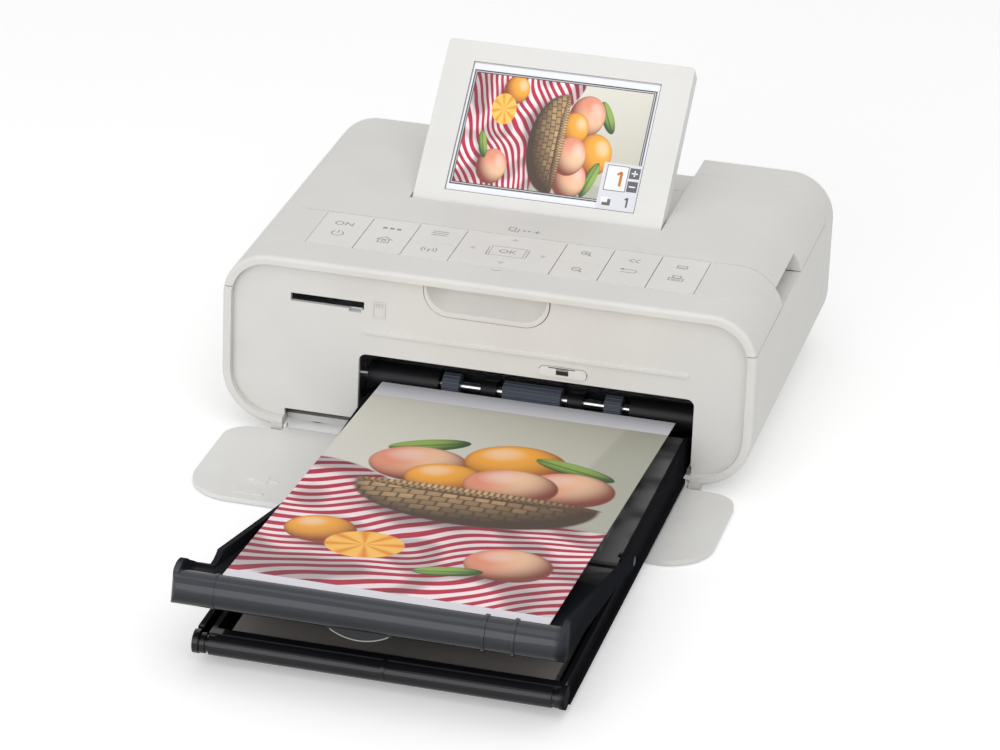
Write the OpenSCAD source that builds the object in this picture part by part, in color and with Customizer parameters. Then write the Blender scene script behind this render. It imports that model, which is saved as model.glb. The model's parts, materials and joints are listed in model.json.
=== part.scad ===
// Compact photo printer with its paper cassette in place, a print on the output lid,
// the front cover folded down and the screen tilted up.
// x = 0 is the middle of the case, z = 0 the table. With the lid shut the whole depth is centred
// on y = 0.

/* [Case] */
// Width of the case
body_w = 180.6; // [165:0.1:215]
// Depth of the case
body_d = 135.9; // [125:0.1:165]
// Height of the case top above the table
body_top = 63.3; // [60:0.1:75]
// Gap between the case and the table
ground_gap = 2.5; // [2:0.1:4]
// Thickness of the case walls
wall = 2.2; // [1.6:0.1:2.6]
// Radius of the two upper long edges
top_r = 15.8; // [10:0.1:18]
// Radius of the two lower long edges
low_r = 18.5; // [12:0.1:20]
// Rounding of the front and rear edges
rim_round = 1.5; // [0.8:0.1:2]
// Width of the rim that frames the front panel
rim_w = 3.0; // [2.4:0.1:4]
// Depth by which the front panel lies behind the rim
panel_set = 2.5; // [1.8:0.1:4]
// Thickness of the front panel
panel_t = 2.0; // [1.2:0.1:3]
// Height of the seam between the top shell and the lower case
seam_z = 50.5; // [46:0.1:53]
// Width of the seams between case parts
seam = 0.3; // [0.1:0.05:0.5]
// Depth of the rear panel
rear_d = 15; // [10:0.5:20]

/* [Front] */
// Middle of the paper opening and of everything that carries paper
paper_x = 13.2; // [8:0.1:16]
// Width of the paper opening
mouth_w = 113.6; // [110:0.1:120]
// Height of the top edge of the paper opening
mouth_top = 31.6; // [28:0.1:34]
// Height of the gap under the front panel
notch_top = 8; // [6:0.1:10]
// Left end of the memory card slot
card_x = -67.5; // [-70:0.1:-60]
// Width of the memory card slot
card_w = 25.2; // [24.5:0.1:28]
// Height of the memory card slot
card_h = 2.9; // [2.6:0.1:3.4]
// Height of the card slot's middle above the table
card_z = 48.8; // [46:0.1:50]
// Width of the finger scoop
scoop_w = 42.3; // [30:0.1:50]
// Height of the finger scoop
scoop_h = 9.9; // [7:0.1:11]
// Width of the front cover's catch
catch_w = 16; // [12:0.5:20]

/* [Front cover] */
// Width of the front cover
door_w = 173.8; // [160:0.1:178]
// Length of the front cover from its hinge side to its free edge
door_l = 54; // [45:0.5:56]
// Thickness of the front cover
door_t = 1.6; // [1.2:0.1:2]
// Height of the open front cover's upper face
door_z = 2.0; // [1.9:0.1:2.4]
// Radius of the front cover's outer corners
door_r = 16; // [8:0.5:20]
// Width of the hinge tab
tab_w = 138.2; // [120:0.1:142]

/* [Keys] */
// Distance from the front of the case to the key band
band_y = 15.2; // [12:0.1:18]
// Width of the key band, front to back
band_d = 29.6; // [26:0.1:34]
// Width of one square key
key_w = 16.3; // [15:0.1:18]
// Width of the four-way pad
pad_w = 34.3; // [30:0.1:36]
// Thickness of the key tops
key_t = 1.2; // [1:0.1:1.4]
// Travel of the keys
key_travel = 0.5; // [0.3:0.05:0.6]
// Gap round each key
key_gap = 0.25; // [0.2:0.05:0.4]

/* [Screen] */
// Width of the screen housing
lcd_w = 87; // [80:0.5:92]
// Length of the screen housing from its hinge edge to its top edge
lcd_l = 65.5; // [58:0.5:68]
// Thickness of the screen housing
lcd_t = 6.5; // [5.5:0.1:7]
// Tilt of the screen from lying shut
lcd_tilt = 43.7; // [20:0.1:45]
// Width of the lit display
view_w = 66; // [55:0.5:70]
// Height of the lit display
view_h = 49; // [42:0.1:50]

/* [Cassette] */
// Width of the paper cassette
tray_w = 109.6; // [106:0.1:112]
// Reach of the output lid in front of the case
lid_reach = 178; // [170:0.5:190]
// Reach of the cassette's tray in front of the case
tray_reach = 167; // [160:0.5:180]
// Length of the cassette inside the case
tray_in = 22; // [18:0.5:24]
// Height of the cassette's underside
tray_z = 3.4; // [3.3:0.1:4]
// Thickness of the cassette's walls
tray_t = 1.5; // [1:0.1:2]
// Distance of the lid's pivots in front of the case
pivot_reach = 82; // [70:0.5:90]
// Height of the lid's pivots
pivot_z = 13.5; // [12:0.1:14]
// Angle by which the output lid stands open
lid_angle = 12.8; // [8:0.1:14]
// Width of a sheet of paper
sheet_w = 100; // [95:0.5:102]
// Length of a sheet with its tear-off ends
sheet_l = 178; // [170:0.5:180]
// Height of the paper stack
stack_h = 3.6; // [0.5:0.1:4.5]

/* [Mechanism] */
// Height of the paper path at the rear slot
path_z = 23.4; // [22:0.1:25]
// Distance of the pick-up shaft behind the front of the case
pick_y = 15.5; // [15:0.1:18]
// Height of the pick-up shaft
pick_z = 19.2; // [18.5:0.1:20]
// Radius of the pick-up rollers
pick_r = 4; // [3:0.1:4.2]
// Radius of the shafts
shaft_r = 1.5; // [1:0.1:2]
// Gear module
gear_m = 0.8; // [0.6:0.1:1]
// Teeth of the gear on the pick-up shaft
pick_teeth = 18; // [16:1:24]
// Teeth of the gear on the feed shaft
feed_teeth = 20; // [16:1:24]
// Teeth of the motor pinion
pinion_teeth = 12; // [10:1:14]
// Radius of the drive motor
motor_r = 10; // [8:0.5:12]
// Length of the drive motor
motor_l = 28; // [20:0.5:32]
// Radius of the ribbon cartridge's two chambers
chamber_r = 10.5; // [8:0.1:11]
// Distance between the two ribbon spools
spool_gap = 43; // [38:0.5:46]

/* [Hidden] */
$fn = 64;

// Colours
WHITE = [0.87, 0.87, 0.84];
BLACK = [0.11, 0.11, 0.12];
SMOKE = [0.29, 0.30, 0.32];
STEEL = [0.75, 0.76, 0.78];
GREEN = [0.10, 0.35, 0.22];

// Clearances
run = 0.05;        // shaft in its bearing, on the radius
seat = 0.2;        // pieces that lie beside each other
slack = 0.5;       // pieces that move past each other

// Case
front_y = (lid_reach - body_d) / 2;      // front of the case in the model's frame
half_w = body_w / 2;
split_y = body_d - rear_d;               // front of the rear panel
corner_x = half_w - top_r;
low_x = half_w - low_r;
panel_y = panel_set + panel_t;           // back of the front panel
floor_z = ground_gap + wall;

// Paper opening
mouth_x0 = paper_x - mouth_w / 2;
mouth_x1 = paper_x + mouth_w / 2;
mouth_r = 2.5;
tab_x = 0.7;                             // middle of the hinge tab
notch_x0 = tab_x - tab_w / 2 - slack;
notch_x1 = tab_x + tab_w / 2 + slack;
notch_d = 7;                             // depth of the gap in the lower case's floor
scoop_top = body_top - rim_w - 1.2;
scoop_x = -0.9;
scoop_r = 8.5;
scoop_d = 6.5;
catch_x = 25.8;
catch_z = 35;
catch_h = 3.2;
ridge_z = 39.8;
ridge_x0 = mouth_x0 + 1.5;
ridge_x1 = mouth_x1 - 2.3;

// Hinge of the front cover
door_pin_r = 0.8;
door_pin_y = 1.9;
door_pin_z = door_z - 0.2;
door_boss_r = 1.7;
door_root_r = 9;                         // radius of the corners beside the tab
door_free = -door_pin_y + 4 + door_l;    // distance of the free edge in front of the case
// Pads on the front cover's inner face: x from, x to, y from, y to.
door_marks = [[-65.6, -61, -43.4, -38.4], [-68, -57.2, -41.6, -40.6], [-69, -59.6, -52.1, -51.1]];

// Key band
band_t = 1.8;                            // thickness of the band
groove_t = 2.0;                          // depth of the groove it lies in
skin_t = 2.2;                            // shell under the groove
band_gap = 0.15;
keys_x0 = -67;
key_lip = 1.0;                           // strip of band before and behind the keys
key_y0 = band_y + key_lip;
key_y1 = band_y + band_d - key_lip;
key_mid_y = (key_y0 + key_y1) / 2;
pad_x0 = keys_x0 + 3 * key_w;
pad_x1 = pad_x0 + pad_w;
ok_w = 13.3;
ok_d = 9.2;
stem_r = 1.5;
board_top = 57.4 - 63.3 + body_top;
board_t = 1.2;
dome_h = 1.0;
stem_gap = key_travel + 0.25;

// Screen
lcd_floor = body_top - lcd_t - 0.6;      // floor of its recess
lcd_y = 66.4;                            // hinge edge when shut
hinge_y = lcd_y + lcd_t / 2;
hinge_z = body_top - 0.2 - lcd_t / 2;
recess_gap = 0.6;
recess_t = 1.4;
hinge_pin_r = 1.4;
hinge_boss_r = 3;
view_low = 8.6;                          // display above the hinge edge
lcd_split = 0.6;                         // seam of the housing above its back
lcd_r = 1.2;                             // corner radius of the housing
lcd_x = -0.8;                            // middle of the screen

// Side cover
cover_low = 9.2;
cover_y0 = panel_y + seam;                // front edge, just behind the front panel
cover_axis_x = half_w - 5.4;
cover_axis_z = cover_low + 3.2;
cover_pin_r = 1.0;
cover_knuckle_r = 2.1;
cover_edge_x = low_x + sqrt(low_r * low_r - pow(ground_gap + low_r - cover_low, 2));
cover_sweep = norm([cover_edge_x - cover_axis_x, cover_low - cover_axis_z]) + 0.2;
knuckle_l = 6;
knuckle_y = [20, 100];
thumb_y0 = 42;
thumb_y1 = 76;
thumb_top = 57;

// Cassette
tray_x0 = paper_x - tray_w / 2;
tray_x1 = paper_x + tray_w / 2;
tray_roll = 3.4;                         // radius of the tray's rounded front
tray_front_top = tray_z + 2 * tray_roll;
tray_rail = tray_front_top + 0.4;        // top of the walls under the output lid
tray_top = pivot_z + 2;                  // top of the walls behind the pivots
tray_end = tray_z + 9.6;                 // top of the walls inside the case
tray_floor = tray_z + 1.2;
cover_end = 8;                           // rear end of the cassette's cover
lid_pin_r = 1.5;
lid_gap = 0.4;                           // gap between the lid's and the tray's walls
lid_t = 1.8;
lid_h = 2.4;                             // top of the lid's walls above its pivots
lid_hollow_r = 12;                       // curve at the front end of the left wall
lid_grip_r = 18.8;                       // radius of the crescent under the bar
lid_bar_h = 10;                          // height of the bar on the lid's front
lid_bar_t = 9.6;                         // thickness of the bar, front to back
lid_x0 = tray_x0 - lid_gap - lid_t;      // outer face of the left wall
lid_x1 = tray_x1 + lid_gap + lid_t;      // outer face of the right wall
lid_corner = 3.6;                        // rounding of the bar's ends, seen from above
lid_end = 6.2;                           // overhang of the bar's left end
lid_skirt = 8.2;                         // depth of the walls below the pivots at the bar
rail_l = 4.4;                            // width of the tray's rail, left and right
rail_r = 1.4;
rail_t = 1.6;
disc_r = 3.7;                            // discs at the ends of the tray's front
disc_l = 1.8;
lid_len = lid_reach - pivot_reach;
ear_h = 2.8;                             // height of the ears above the pivots
ear_r = 8;
ear_l = 20;                              // length of the bar's left end
sheet_t = 0.25;
sheet_rise = 3.9;                        // slope of the print on the lid
print_front = 169.3;                     // reach of the print's front edge
print_z = 31.9;                          // height of the print's front edge
stack_y0 = -tray_reach + 2 * tray_roll + 0.6;

// Mechanism
plate_t = 1.4;
plate_x0 = mouth_x0 - 3;                 // outer face of the left plate
plate_x1 = mouth_x1 + 3;                 // outer face of the right plate
gear_w = 3;
gear_x1 = plate_x0 - 0.6;                // gears run beside the left plate
gear_x0 = gear_x1 - gear_w;
backlash = 0.12;
gear_d = gear_m * (pick_teeth + feed_teeth) / 2;
feed_r = 2;
feed_z = path_z - sheet_t - feed_r;
feed_y = pick_y + sqrt(gear_d * gear_d - (feed_z - pick_z) * (feed_z - pick_z));
feed_dir = atan2(feed_z - pick_z, feed_y - pick_y);
pinion_d = gear_m * (pinion_teeth + feed_teeth) / 2;
motor_y = feed_y;
motor_z = feed_z + pinion_d;
motor_x1 = gear_x0 - 0.6;
pinch_r = 2.4;
pinch_z = path_z + 0.2 + pinch_r;
spool_z = 36.5;
supply_y = 45;
take_y = supply_y + spool_gap;
head_y = (supply_y + take_y) / 2;
platen_r = 5.5;
platen_z = path_z - sheet_t - platen_r;
cart_x0 = paper_x - 53;
cart_x1 = paper_x + 55;
chamber_t = 1.2;
head_w = 8;
arm_z = spool_z + chamber_r + 1.2;
arm_t = 1.6;
pivot_y = take_y + chamber_r + 9;
head_pivot_z = 43;
lever_y = take_y + chamber_r + 4;        // pivot of the eject lever
lever_z = 30;
lever_pin_r = 1.2;
plate_y1 = pivot_y + 7;
plate_top = arm_z - 0.8;
screw_x = half_w - 13.3;
screw_pos = [[-screw_x, 12], [screw_x, 12], [-screw_x, 115], [screw_x, 115]];
foot_pos = [[-60, 16], [64, 32], [-60, 112], [64, 112]];
foot_r = 5;
board_z = 14;
board_x0 = -half_w + 6.3;                // left edge of the main board
inlet_x = -half_w + 21.3;                // middle of the power inlet
card_back = panel_y + 28;                 // rear end of the card socket
slot_h = 5.8;                            // height of the rear paper slot

// Everything is modelled from the front of the case and then moved to its place.
module place() translate([0, front_y, 0]) children();
module box(x0, x1, y0, y1, z0, z1) translate([x0, y0, z0]) cube([x1 - x0, y1 - y0, z1 - z0]);
module along_y(y0, y1) translate([0, y1, 0]) rotate([90, 0, 0]) linear_extrude(height = y1 - y0) children();
module along_x(x0, x1) translate([x0, 0, 0]) rotate([90, 0, 90]) linear_extrude(height = x1 - x0)
    children();
module rod_x(x0, x1, y, z, r) translate([x0, y, z]) rotate([0, 90, 0]) cylinder(h = x1 - x0, r = r);
module rod_y(y0, y1, x, z, r) translate([x, y0, z]) rotate([-90, 0, 0]) cylinder(h = y1 - y0, r = r);
module rod_z(z0, z1, x, y, r) translate([x, y, z0]) cylinder(h = z1 - z0, r = r);
module about_x(y, z, a) translate([0, y, z]) rotate([a, 0, 0]) translate([0, -y, -z]) children();

// Rectangle with round corners, made of squares and circles.
module round_rect(x0, x1, y0, y1, r) {
    translate([x0 + r, y0]) square([x1 - x0 - 2 * r, y1 - y0]);
    translate([x0, y0 + r]) square([x1 - x0, y1 - y0 - 2 * r]);
    for (x = [x0 + r, x1 - r], y = [y0 + r, y1 - r])
        translate([x, y]) circle(r);
}

// Outline of the case seen from the front, moved inwards by d.
module outline(d = 0) {
    z0 = ground_gap + low_r;
    z1 = body_top - top_r;
    translate([-half_w + d, z0]) square([body_w - 2 * d, z1 - z0]);
    translate([-corner_x, z1]) square([2 * corner_x, top_r - d]);
    translate([-low_x, ground_gap + d]) square([2 * low_x, low_r - d]);
    for (s = [-1, 1]) {
        translate([s * corner_x, z1]) circle(top_r - d);
        translate([s * low_x, z0]) circle(low_r - d);
    }
}

// Section through the case's skin, r deep and rounded at its front and rear edges.
module edge_section(r) {
    translate([0, rim_round]) square([r, body_d - 2 * rim_round]);
    square([r - rim_round, body_d]);
    for (y = [rim_round, body_d - rim_round]) translate([r - rim_round, y]) circle(rim_round);
}

// The case's outer form: four round corners, the straight stretches between them and a core.
module case_form() {
    z0 = ground_gap + low_r;
    z1 = body_top - top_r;
    for (c = [[corner_x, z1, top_r, 270], [-corner_x, z1, top_r, 180], [-low_x, z0, low_r, 90], [low_x,
        z0, low_r, 0]])
        translate([c[0], 0, c[1]]) rotate([-90, 0, 0]) rotate([0, 0, c[3]])
            rotate_extrude(angle = 90) edge_section(c[2]);
    for (s = [-1, 1]) scale_x(s) translate([low_x, 0, z0]) linear_extrude(height = z1 - z0)
        edge_section(low_r);
    translate([corner_x, 0, z1]) rotate([0, -90, 0]) linear_extrude(height = 2 * corner_x)
        edge_section(top_r);
    translate([-low_x, 0, z0]) rotate([0, 90, 0]) linear_extrude(height = 2 * low_x) edge_section(low_r);
    box(-low_x, low_x, 0, body_d, z0, z1);
}
module scale_x(s) if (s > 0) children(); else mirror([1, 0, 0]) children();

// The hollow of the case: narrower at the rim, then as wide as the walls allow.
module case_hollow(y1) {
    along_y(-1, panel_set + 0.2) outline(rim_w);
    along_y(panel_set + 0.2, y1) outline(wall);
}

// The part of the right wall that opens over the ribbon cartridge, made larger by d.
module cover_zone(d)
    box(cover_axis_x - 1 - d, half_w + 1, cover_y0 - d, split_y - seam + d, cover_low - d, seam_z + d);

// Recess in the top for the screen, open to the back.
module lcd_recess() {
    box(lcd_x - lcd_w / 2 - recess_gap, lcd_x + lcd_w / 2 + recess_gap, lcd_y - recess_gap, body_d + 1,
        lcd_floor, body_top + 1);
}

// Straight teeth with involute flanks, from the gear's own radius.
function inv_point(rb, t) = [rb * (cos(t) + t * PI / 180 * sin(t)), rb * (sin(t) - t * PI / 180 * cos(t))];
function turned(p, a) = [p[0] * cos(a) - p[1] * sin(a), p[0] * sin(a) + p[1] * cos(a)];
function inv_angle(rb, r) = let (t = sqrt(r * r / (rb * rb) - 1) * 180 / PI) t - atan(t * PI / 180);
module tooth_outline(teeth) {
    rp = gear_m * teeth / 2;
    rb = rp * cos(20);
    ra = rp + gear_m;
    rf = rp - 1.25 * gear_m;
    half = 90 / teeth - backlash / rp * 90 / PI + inv_angle(rb, rp);
    t_end = sqrt(ra * ra / (rb * rb) - 1) * 180 / PI;
    flank = [for (i = [0:4]) turned(inv_point(rb, t_end * i / 4), -half)];
    back = [for (i = [4:-1:0]) let (p = flank[i]) [p[0], -p[1]]];
    foot = [rf * 0.9 * cos(half), -rf * 0.9 * sin(half)];
    polygon(concat([foot], flank, back, [[foot[0], -foot[1]]]));
}
module gear(teeth, x0, x1, y, z, phase, bore) {
    translate([x0, y, z]) rotate([90, 0, 90]) linear_extrude(height = x1 - x0)
        difference() {
            union() {
                circle(gear_m * (teeth / 2 - 1.25));
                for (i = [0:teeth - 1]) rotate([0, 0, phase + i * 360 / teeth]) tooth_outline(teeth);
            }
            circle(bore);
        }
}

// ---- Case ----
module lower_case() color(WHITE) place() {
    difference() {
        union() {
            difference() {
                intersection() {
                    case_form();
                    box(-half_w, half_w, 0, split_y - seam, 0, seam_z);
                }
                case_hollow(split_y);
                cover_zone(seam);
                // sweep of the side cover's lower edge
                rod_y(cover_y0 - seam, split_y, cover_axis_x, cover_axis_z, cover_sweep);
            }
            // bosses for the screws and the board
            intersection() {
                union() {
                    for (p = screw_pos) rod_z(ground_gap, 9, p[0], p[1], 4);
                    for (y = [52, 104], x = [board_x0 + 4, board_x0 + 26]) rod_z(ground_gap,
                        board_z - 0.1, x, y, 2.2);
                }
                along_y(0, split_y - seam) outline(wall / 2);
            }
            // bosses that hold the front cover's pins below the rim
            for (x = [notch_x0 - 4, notch_x1]) {
                rod_x(x, x + 4, door_pin_y, door_pin_z, door_boss_r);
                box(x, x + 4, door_pin_y - door_boss_r, door_pin_y + door_boss_r, door_pin_z, floor_z);
            }
            // bosses beside the side cover's knuckles
            for (y = knuckle_y, s = [-1, 1])
                translate([0, y + (s > 0 ? knuckle_l + seat : -seat - 3), 0]) intersection() {
                    union() {
                        rod_y(0, 3, cover_axis_x, cover_axis_z, cover_knuckle_r);
                        box(cover_axis_x - 5.2, cover_axis_x, 0, 3, cover_axis_z + 0.8,
                            cover_axis_z + cover_knuckle_r);
                        box(cover_axis_x - 5.2, cover_axis_x - 3.6, 0, 3, ground_gap,
                            cover_axis_z + cover_knuckle_r);
                    }
                    along_y(0, 3) outline(seam);
                }
        }
        // room for the cassette and for the front cover's tab
        box(tray_x0 - seat, tray_x1 + seat, -1, tray_in + 1, tray_z - seat, 40);
        box(notch_x0, notch_x1, -1, notch_d, 0, notch_top);
        for (x = [notch_x0 - 3, notch_x1])
            rod_x(x, x + 3, door_pin_y, door_pin_z, door_pin_r + 0.02);
        for (y = knuckle_y) rod_y(y - 3.5, y + knuckle_l + 3.5, cover_axis_x, cover_axis_z,
            cover_pin_r + 0.02);
        for (p = screw_pos) {
            rod_z(0, 10, p[0], p[1], 1.5);
            rod_z(0, 5.2, p[0], p[1], 2.8);
        }
        for (p = foot_pos) rod_z(0, ground_gap + 0.5, p[0], p[1], foot_r + 0.1);
        // socket opening in the left wall
        box(-half_w - 1, -half_w + wall + 2, 60, 73.6, board_z + 1.5, board_z + 8);
    }
}

module top_shell() color(WHITE) place() {
    difference() {
        union() {
            difference() {
                intersection() {
                    case_form();
                    box(-half_w, half_w, 0, split_y - seam, seam_z + seam, body_top);
                }
                case_hollow(split_y);
            }
            // skin under the key band
            difference() {
                along_y(band_y - 1.5, band_y + band_d + 1.5) intersection() {
                    outline(groove_t - 0.3);
                    translate([-half_w, seam_z + seam]) square([body_w, body_top]);
                }
                along_y(0, split_y) outline(groove_t + skin_t);
            }
            // walls of the screen's recess
            translate([lcd_x, 0, 0])
                box(-lcd_w / 2 - recess_gap - recess_t, lcd_w / 2 + recess_gap + recess_t,
                    lcd_y - recess_gap - recess_t, split_y - seam, lcd_floor - recess_t,
                        body_top - wall / 2);
            for (s = [-1, 1]) translate([lcd_x, 0, 0]) scale_x(s)
                rod_x(lcd_w / 2 + recess_gap, lcd_w / 2 + recess_gap + 4, hinge_y, hinge_z, hinge_boss_r);
            // pocket behind the thumb notch
            intersection() {
                box(corner_x + 3, half_w, thumb_y0 - 1.2, thumb_y1 + 1.2, seam_z + seam, thumb_top + 1.4);
                along_y(0, split_y) outline(wall / 2);
            }
            // columns for the screws
            for (p = screw_pos) rod_z(9.2, body_top - wall - 1, p[0], p[1], 3.2);
        }
        // groove round the top for the key band
        difference() {
            along_y(band_y, band_y + band_d) intersection() {
                outline(-1);
                translate([-half_w - 1, 0]) square([body_w + 2, 2 * body_top]);
            }
            along_y(0, split_y) outline(groove_t);
        }
        lcd_recess();
        translate([lcd_x, 0, 0])
            rod_x(-lcd_w / 2 - recess_gap - 3, lcd_w / 2 + recess_gap + 3, hinge_y, hinge_z,
                hinge_pin_r + run);
        box(corner_x + 5, half_w + 1, thumb_y0, thumb_y1, seam_z, thumb_top);
        for (p = screw_pos) rod_z(9, 24, p[0], p[1], 1.1);
        for (k = key_list) rod_z(board_top, body_top, k[0], k[1], stem_r + 0.4);
    }
}

module front_panel() color(WHITE) place() {
    difference() {
        union() {
            difference() {
                along_y(panel_set + 0.2 + 0.1, panel_y) outline(wall + 0.15);
                box(mouth_x0 + mouth_r, mouth_x1 - mouth_r, 0, 9, 0, mouth_top);
                box(mouth_x0, mouth_x1, 0, 9, 0, mouth_top - mouth_r);
                for (x = [mouth_x0 + mouth_r, mouth_x1 - mouth_r])
                    rod_y(0, 9, x, mouth_top - mouth_r, mouth_r);
                box(notch_x0, notch_x1, 0, 9, 0, notch_top);
                along_y(0, 9) scoop_outline(seam);
                along_y(0, 9) catch_outline(0.15);
            }
            along_y(panel_set - 0.4, panel_set + 0.6)
                round_rect(ridge_x0, ridge_x1, ridge_z - 0.6, ridge_z + 0.6, 0.59);
        }
        box(card_x, card_x + card_w, 0, 9, card_z - card_h / 2, card_z + card_h / 2);
        box(card_x + card_w - 5.2, card_x + card_w - 1, 0, 9, card_z - card_h / 2 - 1.1, card_z);
    }
}
module scoop_outline(d) {
    x0 = scoop_x - scoop_w / 2 - d;
    x1 = scoop_x + scoop_w / 2 + d;
    z0 = scoop_top - scoop_h - d;
    r = scoop_r + d;
    intersection() {
        translate([x0, z0]) square([x1 - x0, scoop_h + 2 * d]);
        union() {
            translate([x0 + r, z0]) square([x1 - x0 - 2 * r, r + 1]);
            translate([x0, z0 + r]) square([x1 - x0, scoop_h + 2 * d]);
            for (x = [x0 + r, x1 - r]) translate([x, z0 + r]) circle(r);
        }
    }
}
module catch_outline(d) {
    round_rect(catch_x - catch_w / 2 - d, catch_x + catch_w / 2 + d, catch_z - catch_h / 2 - d,
        catch_z + catch_h / 2 + d, catch_h / 2 + d - 0.01);
}

module finger_scoop() color(WHITE) place() {
    difference() {
        union() {
            along_y(panel_set, panel_set + scoop_d) scoop_outline(0);
            along_y(panel_y + 0.1, panel_y + 1.3) scoop_outline(1.2);
        }
        // hollow for the fingertips, rounded at its ends
        translate([0, panel_set - 3, scoop_top]) {
            rod_x(scoop_x - scoop_w / 2 + 9, scoop_x + scoop_w / 2 - 9, 0, 0, scoop_h - 1.2);
            for (s = [-1, 1]) translate([scoop_x + s * (scoop_w / 2 - 9), 0, 0]) sphere(scoop_h - 1.2);
        }
    }
}

module cover_catch() color(WHITE) place() {
    difference() {
        union() {
            along_y(panel_set - 0.6, panel_y + 0.2) catch_outline(0);
            along_y(panel_y + 0.2, panel_y + 1.4) catch_outline(1);
        }
        box(catch_x - 2.2, catch_x + 2, 0, 9, catch_z - 0.9, catch_z + 0.8);
    }
}

module rear_panel() color(WHITE) place() {
    difference() {
        intersection() {
            case_form();
            box(-half_w, half_w, split_y, body_d, 0, body_top);
        }
        difference() {
            along_y(split_y - 1, body_d - wall) outline(wall);
            // floor and walls of the screen's recess
            translate([lcd_x, 0, 0])
                box(-lcd_w / 2 - recess_gap - recess_t, lcd_w / 2 + recess_gap + recess_t, split_y - 1,
                    body_d,
                    lcd_floor - recess_t, body_top);
        }
        lcd_recess();
        box(tray_x0 + 2, tray_x1 - 2, body_d - wall - 1, body_d + 1, path_z - slot_h / 2,
            path_z + slot_h / 2);
        // cooling slots
        for (i = [0:8]) box(-72 + i * 3.4, -70.4 + i * 3.4, body_d - wall - 1, body_d + 1, 32, 46);
        box(inlet_x - 5.2, inlet_x + 5.2, body_d - wall - 1, body_d + 1, 10.8, 19.2);
    }
}

// ---- Keys ----
// Middle of each key: x, y.
key_list = [
    for (i = [0, 1]) [keys_x0 + (i + 0.5) * key_w, key_mid_y],
    for (y = [(key_mid_y + key_y1) / 2, (key_y0 + key_mid_y) / 2]) [keys_x0 + 2.5 * key_w, y],
    for (s = [-1, 1]) [(pad_x0 + pad_x1) / 2 + s * pad_w / 3, key_mid_y],
    [(pad_x0 + pad_x1) / 2, key_mid_y],
    for (y = [(key_mid_y + key_y1) / 2, (key_y0 + key_mid_y) / 2]) [pad_x1 + 0.5 * key_w, y],
    for (i = [1, 2]) [pad_x1 + (i + 0.5) * key_w, key_mid_y]
];

module control_band() color(WHITE) place() {
    difference() {
        along_y(band_y + band_gap, band_y + band_d - band_gap) difference() {
            intersection() {
                outline();
                translate([-half_w, seam_z + seam]) square([body_w, body_top]);
            }
            outline(band_t);
        }
        box(keys_x0, pad_x1 + 3 * key_w, key_y0, key_y1, body_top - 4, body_top + 1);
    }
}

// A key top between x0, x1 and y0, y1, with its stems.
module key(x0, x1, y0, y1, stems) {
    z0 = body_top - key_t;
    box(x0 + key_gap / 2, x1 - key_gap / 2, y0 + key_gap / 2, y1 - key_gap / 2, z0, body_top);
    for (s = stems) rod_z(board_top + dome_h + stem_gap, z0 + 0.2, s[0], s[1], stem_r);
}
module key_at(i, y0, y1, stem) key(keys_x0 + i * key_w, keys_x0 + (i + 1) * key_w, y0, y1,
    [key_list[stem]]);
module zoom_at(y0, y1, stem) key(pad_x1, pad_x1 + key_w, y0, y1, [key_list[stem]]);

module key_power() color(WHITE) place() key_at(0, key_y0, key_y1, 0);
module key_home() color(WHITE) place() key_at(1, key_y0, key_y1, 1);
module key_menu() color(WHITE) place() key_at(2, key_mid_y, key_y1, 2);
module key_wireless() color(WHITE) place() key_at(2, key_y0, key_mid_y, 3);
module key_pad() color(WHITE) place() {
    difference() {
        key(pad_x0, pad_x1, key_y0, key_y1, [key_list[4], key_list[5]]);
        translate([(pad_x0 + pad_x1) / 2, key_mid_y, body_top - 3]) ok_form(key_gap);
    }
}
module ok_form(d) linear_extrude(height = 4) round_rect(-ok_w / 2 - d, ok_w / 2 + d, -ok_d / 2 - d,
    ok_d / 2 + d, 2 + d);
module key_ok() color(WHITE) place() {
    intersection() {
        translate([(pad_x0 + pad_x1) / 2, key_mid_y, body_top - 3]) ok_form(0);
        box(-half_w, half_w, 0, body_d, body_top - key_t, body_top);
    }
    rod_z(board_top + dome_h + stem_gap, body_top - key_t + 0.2, key_list[6][0], key_list[6][1], stem_r);
}
module key_zoom_in() color(WHITE) place() zoom_at(key_mid_y, key_y1, 7);
module key_zoom_out() color(WHITE) place() zoom_at(key_y0, key_mid_y, 8);
module key_back() color(WHITE) place() key(pad_x1 + key_w, pad_x1 + 2 * key_w, key_y0, key_y1,
    [key_list[9]]);
module key_print() color(WHITE) place() key(pad_x1 + 2 * key_w, pad_x1 + 3 * key_w, key_y0, key_y1,
    [key_list[10]]);

module key_board() color(GREEN) place() {
    box(keys_x0, pad_x1 + 3 * key_w, key_y0, key_y1, board_top - board_t, board_top);
    for (k = key_list) rod_z(board_top - 0.1, board_top + dome_h, k[0], k[1], 2.4);
    // posts up to the shell's skin
    for (x = [keys_x0 + 2, (pad_x0 + pad_x1) / 2 + 8.5, pad_x1 + 3 * key_w - 2], y = [key_y0 + 1.5,
        key_y1 - 1.5])
        rod_z(board_top - 0.1, body_top - groove_t - skin_t - 0.1, x, y, 1.2);
}

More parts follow.
